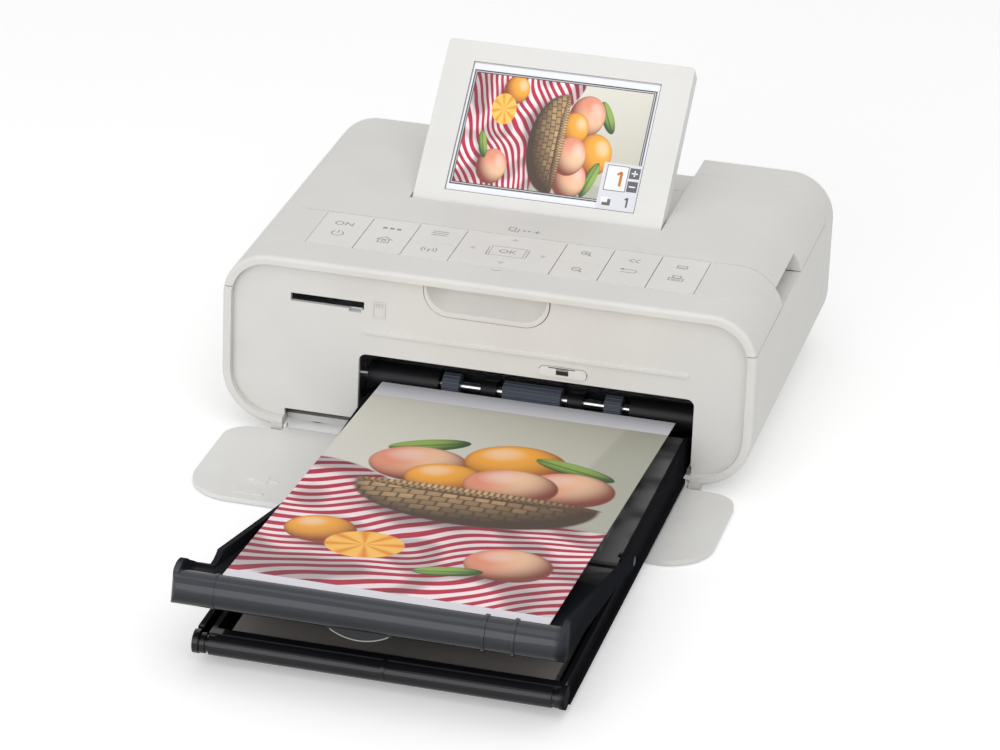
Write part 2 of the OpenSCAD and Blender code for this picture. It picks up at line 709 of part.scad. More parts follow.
// ---- Screen ----
// Modelled lying shut and then turned up about its hinge.
module lcd_up() place() translate([lcd_x, 0, 0]) about_x(hinge_y, hinge_z, lcd_tilt) children();
module lcd_form() {
    z0 = hinge_z - lcd_t / 2;
    intersection() {
        translate([0, 0, z0]) linear_extrude(height = lcd_t)
            round_rect(-lcd_w / 2, lcd_w / 2, lcd_y, lcd_y + lcd_l, lcd_r);
        union() {
            rod_x(-lcd_w / 2, lcd_w / 2, hinge_y, hinge_z, lcd_t / 2);
            box(-lcd_w / 2, lcd_w / 2, hinge_y, lcd_y + lcd_l + 1, z0, z0 + lcd_t);
        }
    }
}
module lcd_pin_bores() for (s = [-1, 1]) scale_x(s)
    rod_x(lcd_w / 2 - 5, lcd_w / 2 + 1, hinge_y, hinge_z, hinge_pin_r + 0.02);
module lcd_bezel() color(WHITE) lcd_up() {
    y0 = lcd_y + view_low;
    difference() {
        intersection() {
            lcd_form();
            box(-half_w, half_w, 0, body_d, hinge_z + lcd_split, body_top + 9);
        }
        box(-view_w / 2, view_w / 2, y0, y0 + view_h, hinge_z, body_top + 9);
        box(-view_w / 2 - 3, view_w / 2 + 3, y0 - 0.2, y0 + view_h + 4, hinge_z, hinge_z + lcd_t / 2 - 1);
        lcd_pin_bores();
    }
}
module lcd_back() color(WHITE) lcd_up() {
    difference() {
        intersection() {
            lcd_form();
            box(-half_w, half_w, 0, body_d, 0, hinge_z + lcd_split - 0.05);
        }
        lcd_pin_bores();
        box(-view_w / 2 - 3, view_w / 2 + 3, lcd_y + view_low - 0.2, lcd_y + view_low + view_h + 4,
            hinge_z - lcd_t / 2 + 1.4, hinge_z + 2);
    }
}
module lcd_module() color(BLACK) lcd_up() {
    y0 = lcd_y + view_low;
    box(-view_w / 2 - 2.8, view_w / 2 + 2.8, y0, y0 + view_h + 3.8, hinge_z - 1.6,
        hinge_z + lcd_t / 2 - 1.05);
}
module lcd_pins() color(STEEL) lcd_up() {
    for (s = [-1, 1]) scale_x(s)
        rod_x(lcd_w / 2 - 4.8, lcd_w / 2 + recess_gap + 2.8, hinge_y, hinge_z, hinge_pin_r);
}

// ---- Side cover ----
module side_cover() color(WHITE) place() {
    difference() {
        union() {
            difference() {
                intersection() {
                    along_y(cover_y0, split_y - seam) outline();
                    cover_zone(0);
                }
                along_y(0, split_y) outline(wall);
            }
            // lip for the thumb
            intersection() {
                box(corner_x + 7.5, half_w, thumb_y0, thumb_y1, seam_z - 1.6, seam_z);
                along_y(0, split_y) outline(wall / 2);
            }
            for (y = knuckle_y) {
                rod_y(y, y + knuckle_l, cover_axis_x, cover_axis_z, cover_knuckle_r);
                intersection() {
                    box(cover_axis_x, half_w, y, y + knuckle_l, cover_axis_z - 1.6, cover_axis_z + 1.6);
                    along_y(0, split_y) outline(wall / 2);
                }
            }
        }
        for (y = knuckle_y) rod_y(y - 1, y + knuckle_l + 1, cover_axis_x, cover_axis_z, cover_pin_r + run);
        // lower edge, cut clear of the bosses that hold the pins
        for (y = knuckle_y, s = [-1, 1])
            translate([0, y + (s > 0 ? knuckle_l : -seat - 3 - seat), 0])
                rod_y(0, 3 + 2 * seat, cover_axis_x, cover_axis_z, cover_knuckle_r + 0.3);
    }
}
module side_cover_pins() color(STEEL) place() {
    for (y = knuckle_y) rod_y(y - 3.3, y + knuckle_l + 3.3, cover_axis_x, cover_axis_z, cover_pin_r);
}

// ---- Front cover, lying open ----
module front_cover() color(WHITE) place() {
    z0 = door_z - door_t;
    difference() {
        union() {
            translate([0, 0, z0]) linear_extrude(height = door_t) {
                difference() {
                    round_rect(tab_x - door_w / 2, tab_x + door_w / 2, -door_free, -door_free + door_l,
                        door_root_r);
                    for (s = [-1, 1]) translate([tab_x + s * door_w / 2, -door_free])
                        square(2 * door_r, center = true);
                }
                for (s = [-1, 1]) translate([tab_x + s * (door_w / 2 - door_r), -door_free + door_r])
                    circle(door_r);
                translate([tab_x - tab_w / 2, -door_free + door_l - 3])
                    square([tab_w, door_free - door_l + 3 + door_pin_y]);
            }
            // knuckles at the ends of the tab
            for (x = [tab_x - tab_w / 2, tab_x + tab_w / 2 - 0.7])
                rod_x(x, x + 0.7, door_pin_y, door_pin_z, door_pin_z - 0.35);
            // pads on the inner face
            for (m = door_marks) box(m[0], m[1], m[2], m[3], door_z - 0.2, door_z + 0.4);
        }
        // cut-out that leaves the finger scoop free when shut
        translate([scoop_x, -door_free, z0 - 1]) cylinder(h = door_t + 2, r = scoop_h);
        rod_x(notch_x0, notch_x1, door_pin_y, door_pin_z, door_pin_r + run);
    }
}
module front_cover_pins() color(STEEL) place() {
    rod_x(notch_x0 - 2.9, tab_x - tab_w / 2 + 0.65, door_pin_y, door_pin_z, door_pin_r);
    rod_x(tab_x + tab_w / 2 - 0.65, notch_x1 + 2.9, door_pin_y, door_pin_z, door_pin_r);
}

// ---- Cassette ----
module cassette_tray() color(BLACK) place() {
    y0 = -tray_reach;
    yr = y0 + tray_roll;
    difference() {
        union() {
            difference() {
                union() {
                    box(tray_x0, tray_x1, yr, tray_in, tray_z, tray_end);
                    box(tray_x0, tray_x1, -pivot_reach - 4, cover_end, tray_z, tray_top);
                }
                box(tray_x0 + tray_t, tray_x1 - tray_t, y0 + 2 * tray_roll, tray_in - tray_t,
                    tray_floor, 40);
                box(tray_x0 - 1, tray_x1 + 1, y0 - 1, -pivot_reach - 4 - 0.01, tray_rail, 40);
            }
            // round front with its grooved ends
            rod_x(tray_x0 + 0.6, tray_x1 - 3.2, yr, tray_z + tray_roll, tray_roll);
            rod_x(tray_x0 - rail_l + 1, tray_x1 + rail_r - 1.2, yr, tray_z + tray_roll, tray_roll - 0.8);
            for (x = [tray_x0 - 2.1, tray_x1 - 2.2]) rod_x(x, x + 1.4, yr, tray_z + tray_roll,
                tray_roll - 0.2);
            for (x = [tray_x0 - rail_l, tray_x1 + rail_r - disc_l - 0.4])
                rod_x(x, x + disc_l, yr, tray_z + disc_r, disc_r);
            // rail along the foot of both walls, in front of the case
            box(tray_x0 - rail_l, tray_x0 + 0.6, yr + 3, -1, tray_z, tray_z + rail_t);
            box(tray_x0 - rail_l, tray_x0 - rail_l + disc_l, yr + 3, -pivot_reach + 4, tray_z,
                tray_front_top + 0.3);
            box(tray_x1 - 0.6, tray_x1 + rail_r, yr + 3, -1, tray_z, tray_z + rail_t);
            rod_x(paper_x - 0.6, paper_x + 0.6, yr - 0.3, tray_z + tray_roll + 0.4, tray_roll);
            // ledge that carries the cover
            for (x = [tray_x0 + tray_t - 0.1, tray_x1 - tray_t - 1.1])
                box(x, x + 1.2, -pivot_reach - 2, cover_end, tray_top - 3.2, tray_top - 1.8);
        }
        for (x = [tray_x0 - 1, tray_x1 - tray_t - 1])
            rod_x(x, x + tray_t + 2, -pivot_reach, pivot_z, lid_pin_r + 0.02);
    }
}
module cassette_cover() color(SMOKE) place() {
    y0 = -pivot_reach - 6;
    difference() {
        union() {
            box(tray_x0 + tray_t + 0.1, tray_x1 - tray_t - 0.1, y0, cover_end, tray_top - 1.7,
                tray_top - 0.3);
            // shallow ribs along the cover
            for (x = [tray_x0 + 8.8, tray_x1 - 10.8]) box(x, x + 2, y0 + 6, cover_end - 2,
                tray_top - 0.5, tray_top + 0.7);
        }
        box(paper_x - 8, paper_x + 8, -70, -20, 0, 40);
        for (x = [tray_x0, tray_x1 - tray_t - 1.4])
            box(x, x + tray_t + 1.4, -pivot_reach - 2, -pivot_reach + 2, 0, 40);
    }
}

// Modelled lying shut and then turned up about its pivots.
module lid_up() place() about_x(-pivot_reach, pivot_z, -lid_angle) children();
module bar_outline(d) {
    // section of the front bar, rounded above and below
    r = lid_bar_t / 2 - d;
    yc = -pivot_reach - lid_len + lid_bar_t / 2;
    z0 = pivot_z - lid_bar_h + lid_bar_t / 2;
    z1 = pivot_z - lid_bar_t / 2 + 0.4;
    translate([yc - r, z0]) square([2 * r, z1 - z0]);
    for (z = [z0, z1]) translate([yc, z]) circle(r);
}
module lid_wall_outline() {
    // side of the lid: deep at the bar, shallow and round at the pivot
    y0 = -pivot_reach - lid_len + lid_bar_t / 2;
    z0 = pivot_z - 2.6;
    polygon([[y0, pivot_z - lid_skirt], [-pivot_reach - 22, z0], [-pivot_reach, z0],
        [-pivot_reach, pivot_z + lid_h], [y0, pivot_z + lid_h]]);
    translate([-pivot_reach, pivot_z - 0.1]) circle(lid_h + 0.1);
}
module ear_outline() {
    // raised end of the bar, round in front and sloping down behind
    y0 = -pivot_reach - lid_len;
    z0 = pivot_z - lid_bar_h + 1.2;
    intersection() {
        translate([y0 + ear_r + 0.3, pivot_z + ear_h - ear_r]) circle(ear_r);
        translate([y0, pivot_z - lid_bar_h / 2]) square([2 * ear_r + 1, lid_bar_h]);
    }
    polygon([[y0 + ear_r, z0], [y0 + ear_l, pivot_z - 2.5], [y0 + ear_l, pivot_z - 0.6],
        [y0 + ear_r + 3.4, pivot_z + ear_h - 0.8], [y0 + ear_r, pivot_z]]);
}
module output_lid() color(SMOKE) lid_up() {
    y0 = -pivot_reach - lid_len;
    z1 = pivot_z - 1.4;                      // top of the floor
    xe = lid_x0 - lid_end;                   // left end of the bar
    wall_in = [lid_x0 + lid_t, lid_x1 - lid_t];
    difference() {
        union() {
            // bar, open behind, with its ends rounded from above
            intersection() {
                union() {
                    along_x(xe + 1, lid_x1 - 1) difference() {
                        bar_outline(0);
                        bar_outline(lid_t);
                        translate([y0 + lid_bar_t / 2, pivot_z - lid_bar_h - 1])
                            square([lid_bar_t, lid_bar_h - 1]);
                    }
                    for (x = [xe - 0.4, lid_x1 - lid_t]) along_x(x, x + lid_t + 0.4) {
                        bar_outline(0);
                        ear_outline();
                    }
                }
                translate([0, 0, -5]) linear_extrude(height = 40)
                    round_rect(xe, lid_x1, y0 - 0.4, y0 + 40, lid_corner);
            }
            // web between the left end and the left wall
            box(xe + 0.6, wall_in[0], y0 + ear_l - 1.6, y0 + ear_l, pivot_z - 2.5, pivot_z - 0.7);
            // floor, also of the pocket in the bar's left end
            box(xe + 0.6, lid_x0 + 1, y0 + lid_bar_t / 2, y0 + ear_l - 0.6, z1 - 0.9, z1);
            box(lid_x0 + 0.6, lid_x1 - 0.6, y0 + lid_bar_t / 2, -pivot_reach - 8, z1 - 1.2, z1);
            // side walls
            intersection() {
                for (x = [lid_x0, lid_x1 - lid_t]) along_x(x, x + lid_t) lid_wall_outline();
                union() {
                    box(lid_x0, wall_in[0] + 1, y0 + ear_l - 1.6, 0, 0, 40);
                    box(wall_in[1] - 1, lid_x1, y0, 0, 0, 40);
                }
            }
            // clip ribs on the bar
            for (x = [paper_x + 32, paper_x + 41]) along_x(x, x + 1) bar_outline(-0.5);
            along_x(paper_x - 50.4, paper_x - 49.6) bar_outline(-0.25);
            // crescent below the bar for a finger
            along_y(y0 + 3, y0 + 4.6) intersection() {
                translate([paper_x - 5.2, pivot_z + 6]) circle(lid_grip_r);
                translate([paper_x - 17, pivot_z - lid_bar_h - 4]) square([24, 5.2]);
            }
        }
        // hollow where the left wall starts
        rod_x(lid_x0 - 0.5, wall_in[0] + 0.5, y0 + ear_l - 1.6, pivot_z - 0.8 + lid_hollow_r, lid_hollow_r);
        // pivots
        rod_x(lid_x0 - 1, tray_x0, -pivot_reach, pivot_z, lid_pin_r + run);
        rod_x(tray_x1, lid_x1 + 1, -pivot_reach, pivot_z, lid_pin_r + run);
        // the walls of the tray pass inside the lid's walls
        box(wall_in[0], wall_in[1], y0 + lid_bar_t / 2 + 0.01, -pivot_reach + 6, 0, z1 - 1.2);
        // room for the front edge of the print
        box(paper_x - sheet_w / 2 - 1, paper_x + sheet_w / 2 + 1, y0 + 6.5, y0 + lid_bar_t + 1, z1,
            pivot_z + 5);
        // room for the disc at the tray's right end
        rod_x(wall_in[1] - 0.5, tray_x1 + rail_r - 0.15, -tray_reach + tray_roll, tray_z + disc_r,
            disc_r + 0.4);
    }
}
module lid_pins() color(STEEL) place() {
    rod_x(tray_x0 - lid_gap - lid_t - 0.2, tray_x0 + tray_t, -pivot_reach, pivot_z, lid_pin_r);
    rod_x(tray_x1 - tray_t, tray_x1 + lid_gap + lid_t + 0.2, -pivot_reach, pivot_z, lid_pin_r);
}
module paper_stack() color("ivory") place() {
    box(paper_x - sheet_w / 2, paper_x + sheet_w / 2, stack_y0, stack_y0 + sheet_l, tray_floor + 0.05,
        tray_floor + 0.05 + stack_h);
}
module photo_print() color("wheat") place() {
    translate([0, -print_front, print_z]) rotate([-sheet_rise, 0, 0])
        box(paper_x - sheet_w / 2, paper_x + sheet_w / 2, 0, sheet_l, 0, sheet_t);
}

// ---- Mechanism ----
module chassis() color(STEEL) place() {
    difference() {
        union() {
            for (x = [plate_x0, plate_x1 - plate_t]) {
                box(x, x + plate_t, panel_y + 2, plate_y1, floor_z + 0.1, 30);
                box(x, x + plate_t, card_back + 1, plate_y1, floor_z + 0.1, plate_top);
            }
            box(plate_x0, plate_x1, tray_in + 2, plate_y1, floor_z + 0.1, floor_z + 1.4);
            box(plate_x0, plate_x1, plate_y1 - plate_t, plate_y1, floor_z + 0.1, path_z - 4);
            box(plate_x0, plate_x1, plate_y1 - plate_t, plate_y1, path_z + 4, plate_top);
            // foot of the folded left plate
            box(plate_x0 - 6, plate_x0 + 1, 60, 74, floor_z + 0.1, floor_z + 1.4);
        }
        // window for the ribbon cartridge
        box(plate_x1 - 5, plate_x1 + 5, supply_y - chamber_r - 1, take_y + chamber_r + 1, path_z + 1,
            plate_top + 5);
        for (p = [[pick_y, pick_z], [feed_y, feed_z], [head_y, platen_z], [pivot_y, head_pivot_z],
            [feed_y, pinch_z]])
            rod_x(plate_x0 - 1, plate_x1 + 1, p[0], p[1], shaft_r + run);
        rod_x(plate_x0 - 1, plate_x0 + 3, supply_y, spool_z, 3 + run);
        rod_x(plate_x0 - 1, plate_x0 + 3, take_y, spool_z, 3 + run);
    }
    // stub that carries the eject lever
    rod_x(plate_x1 - 0.1, plate_x1 + 2.8, lever_y, lever_z, lever_pin_r);
}
module pick_shaft() color(STEEL) place() rod_x(gear_x0 - 0.4, plate_x1 + 1, pick_y, pick_z, shaft_r);
// Rubber rollers with ribs along them.
module pick_rollers() color([0.29, 0.31, 0.35]) place() {
    for (r = [[-27.7, 5.8], [0, 19.8], [27.7, 5.8]])
        translate([paper_x + r[0] - r[1] / 2, pick_y, pick_z]) rotate([90, 0, 90])
            linear_extrude(height = r[1])
            difference() {
                circle(pick_r);
                circle(shaft_r + 0.02);
                for (i = [0:15]) rotate([0, 0, i * 22.5]) translate([pick_r + 0.1, 0]) circle(0.42,
                    $fn = 16);
            }
}
module pick_gear() color("ivory") place()
    gear(pick_teeth, gear_x0, gear_x1, pick_y, pick_z, feed_dir + 180 / pick_teeth, shaft_r + 0.02);
// Black carrier that holds the pick-up shaft at both ends and between the rollers.
module roller_housing() color(BLACK) place() {
    xl = mouth_x0 + 1;
    xr = mouth_x1 - 1;
    difference() {
        union() {
            rod_x(xl, paper_x - 31.6, pick_y, pick_z, 5);
            rod_x(paper_x + 33.6, xr, pick_y, pick_z, 5);
            for (s = [-1, 1]) {
                rod_x(paper_x + s * 14.8 - 2.6, paper_x + s * 14.8 + 2.6, pick_y, pick_z, 3.2);
                box(paper_x + s * 14.8 - 2.6, paper_x + s * 14.8 + 2.6, pick_y, pick_y + 5.6,
                    pick_z - 1, pick_z + 2.4);
            }
            // beam behind the rollers and its two end cheeks
            box(xl, xr, pick_y + 4.6, pick_y + 6.2, pick_z - 5, pick_z + 2.6);
            box(xl, paper_x - 31.6, pick_y, pick_y + 6, pick_z - 2, pick_z + 2.6);
            box(paper_x + 33.6, xr, pick_y, pick_y + 6, pick_z - 2, pick_z + 2.6);
        }
        rod_x(xl - 1, xr + 1, pick_y, pick_z, shaft_r + run);
        for (r = [[-27.7, 5.8], [0, 19.8], [27.7, 5.8]])
            rod_x(paper_x + r[0] - r[1] / 2 - slack, paper_x + r[0] + r[1] / 2 + slack, pick_y, pick_z,
                pick_r + 0.4);
    }
    // small guides under the shaft
    for (s = [-1, 1]) box(paper_x + s * 21 - 2.5, paper_x + s * 21 + 2.5, pick_y - 2.6, pick_y + 4.7,
        pick_z - 4.6, pick_z - 2.2);
}
module feed_shaft() color(STEEL) place() difference() {
    union() {
        rod_x(gear_x0 - 0.4, plate_x1 + 1, feed_y, feed_z, shaft_r);
        rod_x(plate_x0 + plate_t + 2, plate_x1 - plate_t - 2, feed_y, feed_z, feed_r);
    }
    for (x = [plate_x0 + 6, plate_x1 - 8]) translate([x, feed_y, feed_z]) rotate([0, 90, 0])
        difference() {
            cylinder(h = 2, r = feed_r + 1);
            cylinder(h = 2, r = feed_r - 0.2);
        }
}
module feed_gear() color("ivory") place()
    gear(feed_teeth, gear_x0, gear_x1, feed_y, feed_z, feed_dir + 180, shaft_r + 0.02);
module pinch_roller() color(STEEL) place() {
    rod_x(plate_x0, plate_x1, feed_y, pinch_z, shaft_r);
    rod_x(plate_x0 + plate_t + 2, plate_x1 - plate_t - 2, feed_y, pinch_z, pinch_r);
}
module drive_motor() color(STEEL) place() {
    difference() {
        rod_x(motor_x1 - motor_l, motor_x1 - 1, motor_y, motor_z, motor_r);
        rod_x(motor_x1 - 9, motor_x1, motor_y, motor_z, 1 + run);
    }
    rod_x(motor_x1 - motor_l - 1.2, motor_x1 - motor_l + 1, motor_y, motor_z, 3.4);
    // flange, with its feet on the left plate
    difference() {
        box(motor_x1 - 1.4, motor_x1 - 0.2, motor_y - motor_r - 1, motor_y + motor_r + 1, motor_z - 5,
            motor_z + 5);
        rod_x(motor_x1 - 9, motor_x1, motor_y, motor_z, 1 + run);
    }
    for (s = [-1, 1]) box(motor_x1 - 1.4, plate_x0 - 0.1, motor_y + s * (motor_r - 0.2) - 1,
        motor_y + s * (motor_r - 0.2) + 1,
        motor_z + 1, motor_z + 4);
}
module motor_pinion() color("gold") place() {
    gear(pinion_teeth, gear_x0, gear_x1, motor_y, motor_z, 270 - feed_turn(), 0.9);
    rod_x(motor_x1 - 8, gear_x1, motor_y, motor_z, 1);
}
// The feed gear's teeth start at feed_dir + 180; the pinion takes the gap above it.
function feed_turn() = let (step = 360 / feed_teeth, off = (90 - feed_dir - 180) / step)
    -(off - floor(off) - 0.5) * step * feed_teeth / pinion_teeth;
module platen_roller() color([0.2, 0.2, 0.22]) place() {
    rod_x(plate_x0, plate_x1, head_y, platen_z, shaft_r);
    rod_x(plate_x0 + plate_t + 2, plate_x1 - plate_t - 2, head_y, platen_z, platen_r);
}
module thermal_head() color([0.62, 0.63, 0.65]) place() {
    // heat sink with fins, and the ceramic strip with its bead
    box(cart_x0 + 5, cart_x1 - 5, head_y - head_w / 2, head_y + head_w / 2, path_z + 1.4, path_z + 4);
    for (i = [0:3]) {
        y = head_y - head_w / 2 + 0.3 + i * 2.06;
        box(cart_x0 + 7, cart_x1 - 7, y, y + 1.2, path_z + 3.9, arm_z - 0.1);
    }
    rod_x(cart_x0 + 6, cart_x1 - 6, head_y, path_z + 1.6, 0.7);
}
module head_arm() color(STEEL) place() {
    difference() {
        union() {
            box(cart_x0 - 1, cart_x1 + 1, head_y - head_w / 2 - 1, pivot_y + 2, arm_z, arm_z + arm_t);
            for (x = [cart_x0 - 1, cart_x1 - 0.4]) box(x, x + 1.4, pivot_y - 3.4, pivot_y + 2,
                head_pivot_z - 3, arm_z + 0.1);
        }
        rod_x(cart_x0 - 2, cart_x1 + 3, pivot_y, head_pivot_z, shaft_r + run);
        for (i = [0:4]) box(cart_x0 + 10 + i * 19, cart_x0 + 22 + i * 19, take_y - 6, take_y + 6,
            arm_z - 1, arm_z + 4);
    }
}
module head_pivot() color(STEEL) place() rod_x(plate_x0, plate_x1, pivot_y, head_pivot_z, shaft_r);

// ---- Ribbon cartridge ----
module ribbon_cartridge() color(SMOKE) place() {
    difference() {
        union() {
            for (y = [supply_y, take_y]) rod_x(cart_x0, cart_x1, y, spool_z, chamber_r);
            for (x = [cart_x0, cart_x1 - 3]) box(x, x + 3, supply_y, take_y, spool_z - 8, spool_z - 4);
            // grip at the outer end
            box(cart_x1 - 1.5, cart_x1, supply_y, take_y, spool_z - 8, spool_z + 4);
        }
        for (y = [supply_y, take_y]) {
            rod_x(cart_x0 + chamber_t, cart_x1 - chamber_t, y, spool_z, chamber_r - chamber_t);
            rod_x(cart_x0 - 1, cart_x1 + 1, y, spool_z, 3 + run);
        }
        // mouths for the film, towards the head
        box(cart_x0 + 4, cart_x1 - 4, supply_y + 2, supply_y + 7.6, 0, spool_z - 3);
        box(cart_x0 + 4, cart_x1 - 4, take_y - 7.6, take_y - 2, 0, spool_z - 3);
    }
}
module spool(y, roll_r) {
    rod_x(cart_x0 - 3.6, cart_x1 + 0.8, y, spool_z, 3);
    rod_x(cart_x0 + 4, cart_x1 - 4, y, spool_z, roll_r);
    for (x = [cart_x0 + 2, cart_x1 - 3]) rod_x(x, x + 1, y, spool_z, 8.4);
}
module supply_spool() color([0.55, 0.35, 0.4]) place() spool(supply_y, 7.6);
module take_up_spool() color([0.4, 0.35, 0.5]) place() spool(take_y, 4.6);
module ribbon_film() color([0.5, 0.3, 0.45]) place() {
    // film down from the supply, under the head and up to the take-up
    z0 = path_z + 0.3;
    box(cart_x0 + 5, cart_x1 - 5, supply_y + 5.2, supply_y + 5.4, z0, spool_z - 7.6);
    box(cart_x0 + 5, cart_x1 - 5, supply_y + 5.2, take_y - 5.2, z0, z0 + 0.2);
    box(cart_x0 + 5, cart_x1 - 5, take_y - 5.4, take_y - 5.2, z0, spool_z - 6);
}

// ---- Electrics ----
module main_board() color(GREEN) place() {
    box(board_x0, board_x0 + 30, 48, 108, board_z, board_z + 1.6);
    box(board_x0 + 8, board_x0 + 22, 80, 94, board_z + 1.5, board_z + 3.4);
    box(board_x0 + 24, board_x0 + 28, 52, 76, board_z + 1.5, board_z + 7);
    for (y = [98, 104]) rod_z(board_z + 1.5, board_z + 9, board_x0 + 6, y - 1, 2.6);
}
module card_socket() color(STEEL) place() {
    x1 = card_x + card_w;
    difference() {
        box(card_x - 1.2, x1 + 1.2, panel_y + 0.1, card_back, card_z - card_h / 2 - 1.6,
            card_z + card_h / 2 + 0.8);
        box(card_x, x1, 0, card_back - 1.2, card_z - card_h / 2, card_z + card_h / 2);
    }
}
module usb_socket() color(STEEL) place() {
    z0 = board_z + 1.65;
    difference() {
        box(-half_w + 0.8, -half_w + 15, 60.2, 73.4, z0, z0 + 6.2);
        box(-half_w, -half_w + 14, 60.8, 72.8, z0 + 0.6, z0 + 5.6);
    }
    box(-half_w + 2, -half_w + 14.2, 61.2, 72.4, z0 + 3.4, z0 + 5.2);
}
module power_inlet() color(BLACK) place() {
    difference() {
        box(inlet_x - 5, inlet_x + 5, body_d - 12, body_d - 0.4, 11, 19);
        rod_y(body_d - 10, body_d, inlet_x, 15, 2.8);
    }
    rod_y(body_d - 11, body_d - 1.6, inlet_x, 15, 0.8);
}
module eject_lever() color(SMOKE) place() {
    x0 = plate_x1 + 0.3;
    difference() {
        union() {
            rod_x(x0, x0 + 2, lever_y, lever_z, 3);
            box(x0, x0 + 2, lever_y - 2, lever_y + 2, lever_z, lever_z + 14);
            box(x0, x0 + 7, lever_y - 3, lever_y + 3, lever_z + 13, lever_z + 15.5);
        }
        rod_x(x0 - 1, x0 + 3, lever_y, lever_z, lever_pin_r + run);
    }
}
module feet() color([0.25, 0.25, 0.26]) place() {
    for (p = foot_pos) {
        rod_z(0.5, ground_gap + 0.4, p[0], p[1], foot_r);
        rod_z(0, 0.6, p[0], p[1], foot_r - 0.6);
    }
}
module screws() color(STEEL) place() {
    for (p = screw_pos) {
        rod_z(3.4, 5.1, p[0], p[1], 2.5);
        rod_z(5, 20, p[0], p[1], 1.08);
    }
}

lower_case();
top_shell();
front_panel();
finger_scoop();
cover_catch();
rear_panel();
control_band();
key_power();
key_home();
key_menu();
key_wireless();
key_pad();
key_ok();
key_zoom_in();
key_zoom_out();
key_back();
key_print();
key_board();
lcd_bezel();
lcd_back();
lcd_module();
lcd_pins();
side_cover();
side_cover_pins();
front_cover();
front_cover_pins();
cassette_tray();
cassette_cover();
output_lid();
lid_pins();
paper_stack();
photo_print();
chassis();
pick_shaft();
pick_rollers();
pick_gear();
roller_housing();
feed_shaft();
feed_gear();
pinch_roller();
drive_motor();
motor_pinion();
platen_roller();
thermal_head();
head_arm();
head_pivot();
ribbon_cartridge();
supply_spool();
take_up_spool();
ribbon_film();
main_board();
card_socket();
usb_socket();
power_inlet();
eject_lever();
feet();
screws();
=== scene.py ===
"""Looks of a compact photo printer, built round its packed construction."""
import json
import math

import bpy
from mathutils import Matrix, Vector

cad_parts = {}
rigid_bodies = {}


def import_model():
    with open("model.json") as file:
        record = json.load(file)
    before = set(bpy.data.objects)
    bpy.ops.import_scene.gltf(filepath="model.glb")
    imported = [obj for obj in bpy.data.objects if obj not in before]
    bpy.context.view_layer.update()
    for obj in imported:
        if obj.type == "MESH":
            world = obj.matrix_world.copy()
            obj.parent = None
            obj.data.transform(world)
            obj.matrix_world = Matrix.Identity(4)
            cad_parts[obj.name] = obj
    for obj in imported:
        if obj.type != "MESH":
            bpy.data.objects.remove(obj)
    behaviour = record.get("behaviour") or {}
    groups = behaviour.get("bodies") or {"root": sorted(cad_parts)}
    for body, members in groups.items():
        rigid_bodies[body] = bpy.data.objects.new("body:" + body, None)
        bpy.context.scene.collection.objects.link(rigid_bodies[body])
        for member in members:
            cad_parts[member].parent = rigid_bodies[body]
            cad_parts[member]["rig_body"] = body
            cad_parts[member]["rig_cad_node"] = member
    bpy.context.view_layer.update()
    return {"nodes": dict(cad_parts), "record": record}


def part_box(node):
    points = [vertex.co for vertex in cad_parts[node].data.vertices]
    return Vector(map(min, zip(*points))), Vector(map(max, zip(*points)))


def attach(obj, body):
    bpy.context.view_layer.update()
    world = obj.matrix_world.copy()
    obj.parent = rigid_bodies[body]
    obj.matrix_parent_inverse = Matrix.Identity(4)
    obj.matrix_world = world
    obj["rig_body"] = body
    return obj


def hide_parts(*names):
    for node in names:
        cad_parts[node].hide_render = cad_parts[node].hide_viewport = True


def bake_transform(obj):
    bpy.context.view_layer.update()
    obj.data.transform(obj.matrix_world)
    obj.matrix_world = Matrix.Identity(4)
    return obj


bl_info = {
    "name": "Compact photo printer",
    "version": (1, 0, 0),
    "blender": (4, 5, 0),
    "location": "3D View > Sidebar > Printer",
    "description": "Builds the finish, the prints and the markings of a compact photo printer",
    "category": "Object",
}

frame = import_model()
NODES = frame["nodes"]
BODY_OF = {n: b for b, ns in frame["record"]["behaviour"]["bodies"].items() for n in ns}
MM = 0.001

# Places and sizes in millimetres and degrees. y runs from the front of the case, which lies at FRONT_Y.
FRONT_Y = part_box("lower_case")[0].y / MM
PAPER_X = 13.2                          # middle of the paper's way
HINGE_Y, HINGE_Z = FRONT_Y + 69.65, 59.85
TILT = 43.7                             # the screen stands up by this angle
SCREEN_TOP = HINGE_Z + 3.25             # face of the screen's housing when it is shut
VIEW_X, VIEW_LOW = -0.8, FRONT_Y + 75.0
VIEW_W, VIEW_H = 66.0, 49.0             # the lit face
SHEET_W, SHEET_L, SHEET_T = 100.0, 178.0, 0.25
SHEET_FRONT = (PAPER_X, FRONT_Y - 169.3, 31.9)
SHEET_SLOPE = -3.9
STRIP_FRONT, STRIP_BACK = 8.0, 12.0     # blank strips that are torn off
PICTURE_TALL = (SHEET_L - STRIP_FRONT - STRIP_BACK) / SHEET_W
LID_ANGLE = -12.8
SIGN_HEIGHT, SIGN_LINE = 0.08, 0.45     # the raised signs of the case
MATTE = 0.06                            # how much polish is left on the walls of the cassette

# Soft lamps: name, power, size, place and what it shines at, in metres
LAMPS = (
    ("top_box", 4.6, 1.2, (0.15, -0.35, 1.5), (0, 0, 0.03)),
    ("front_box", 9.5, 1.2, (-0.4, -1.6, 0.5), (0, 0, 0.04)),
    ("side_box", 4.6, 1.0, (0.7, -1.2, 1.25), (0.08, 0.0, 0.02)),
)
FLOOR_TONE, FLOOR_GLOW = 0.86, 0.30
SKY_LIGHT, SKY_SEEN = 0.55, 1.0
CAMERA_AT = (0.31428, -1.26338, 0.62570)
CAMERA_TURN = (13.524, 24.189, 2.340)   # yaw, pitch and roll
CAMERA_LENS, CAMERA_SENSOR = 158.95, 36.0


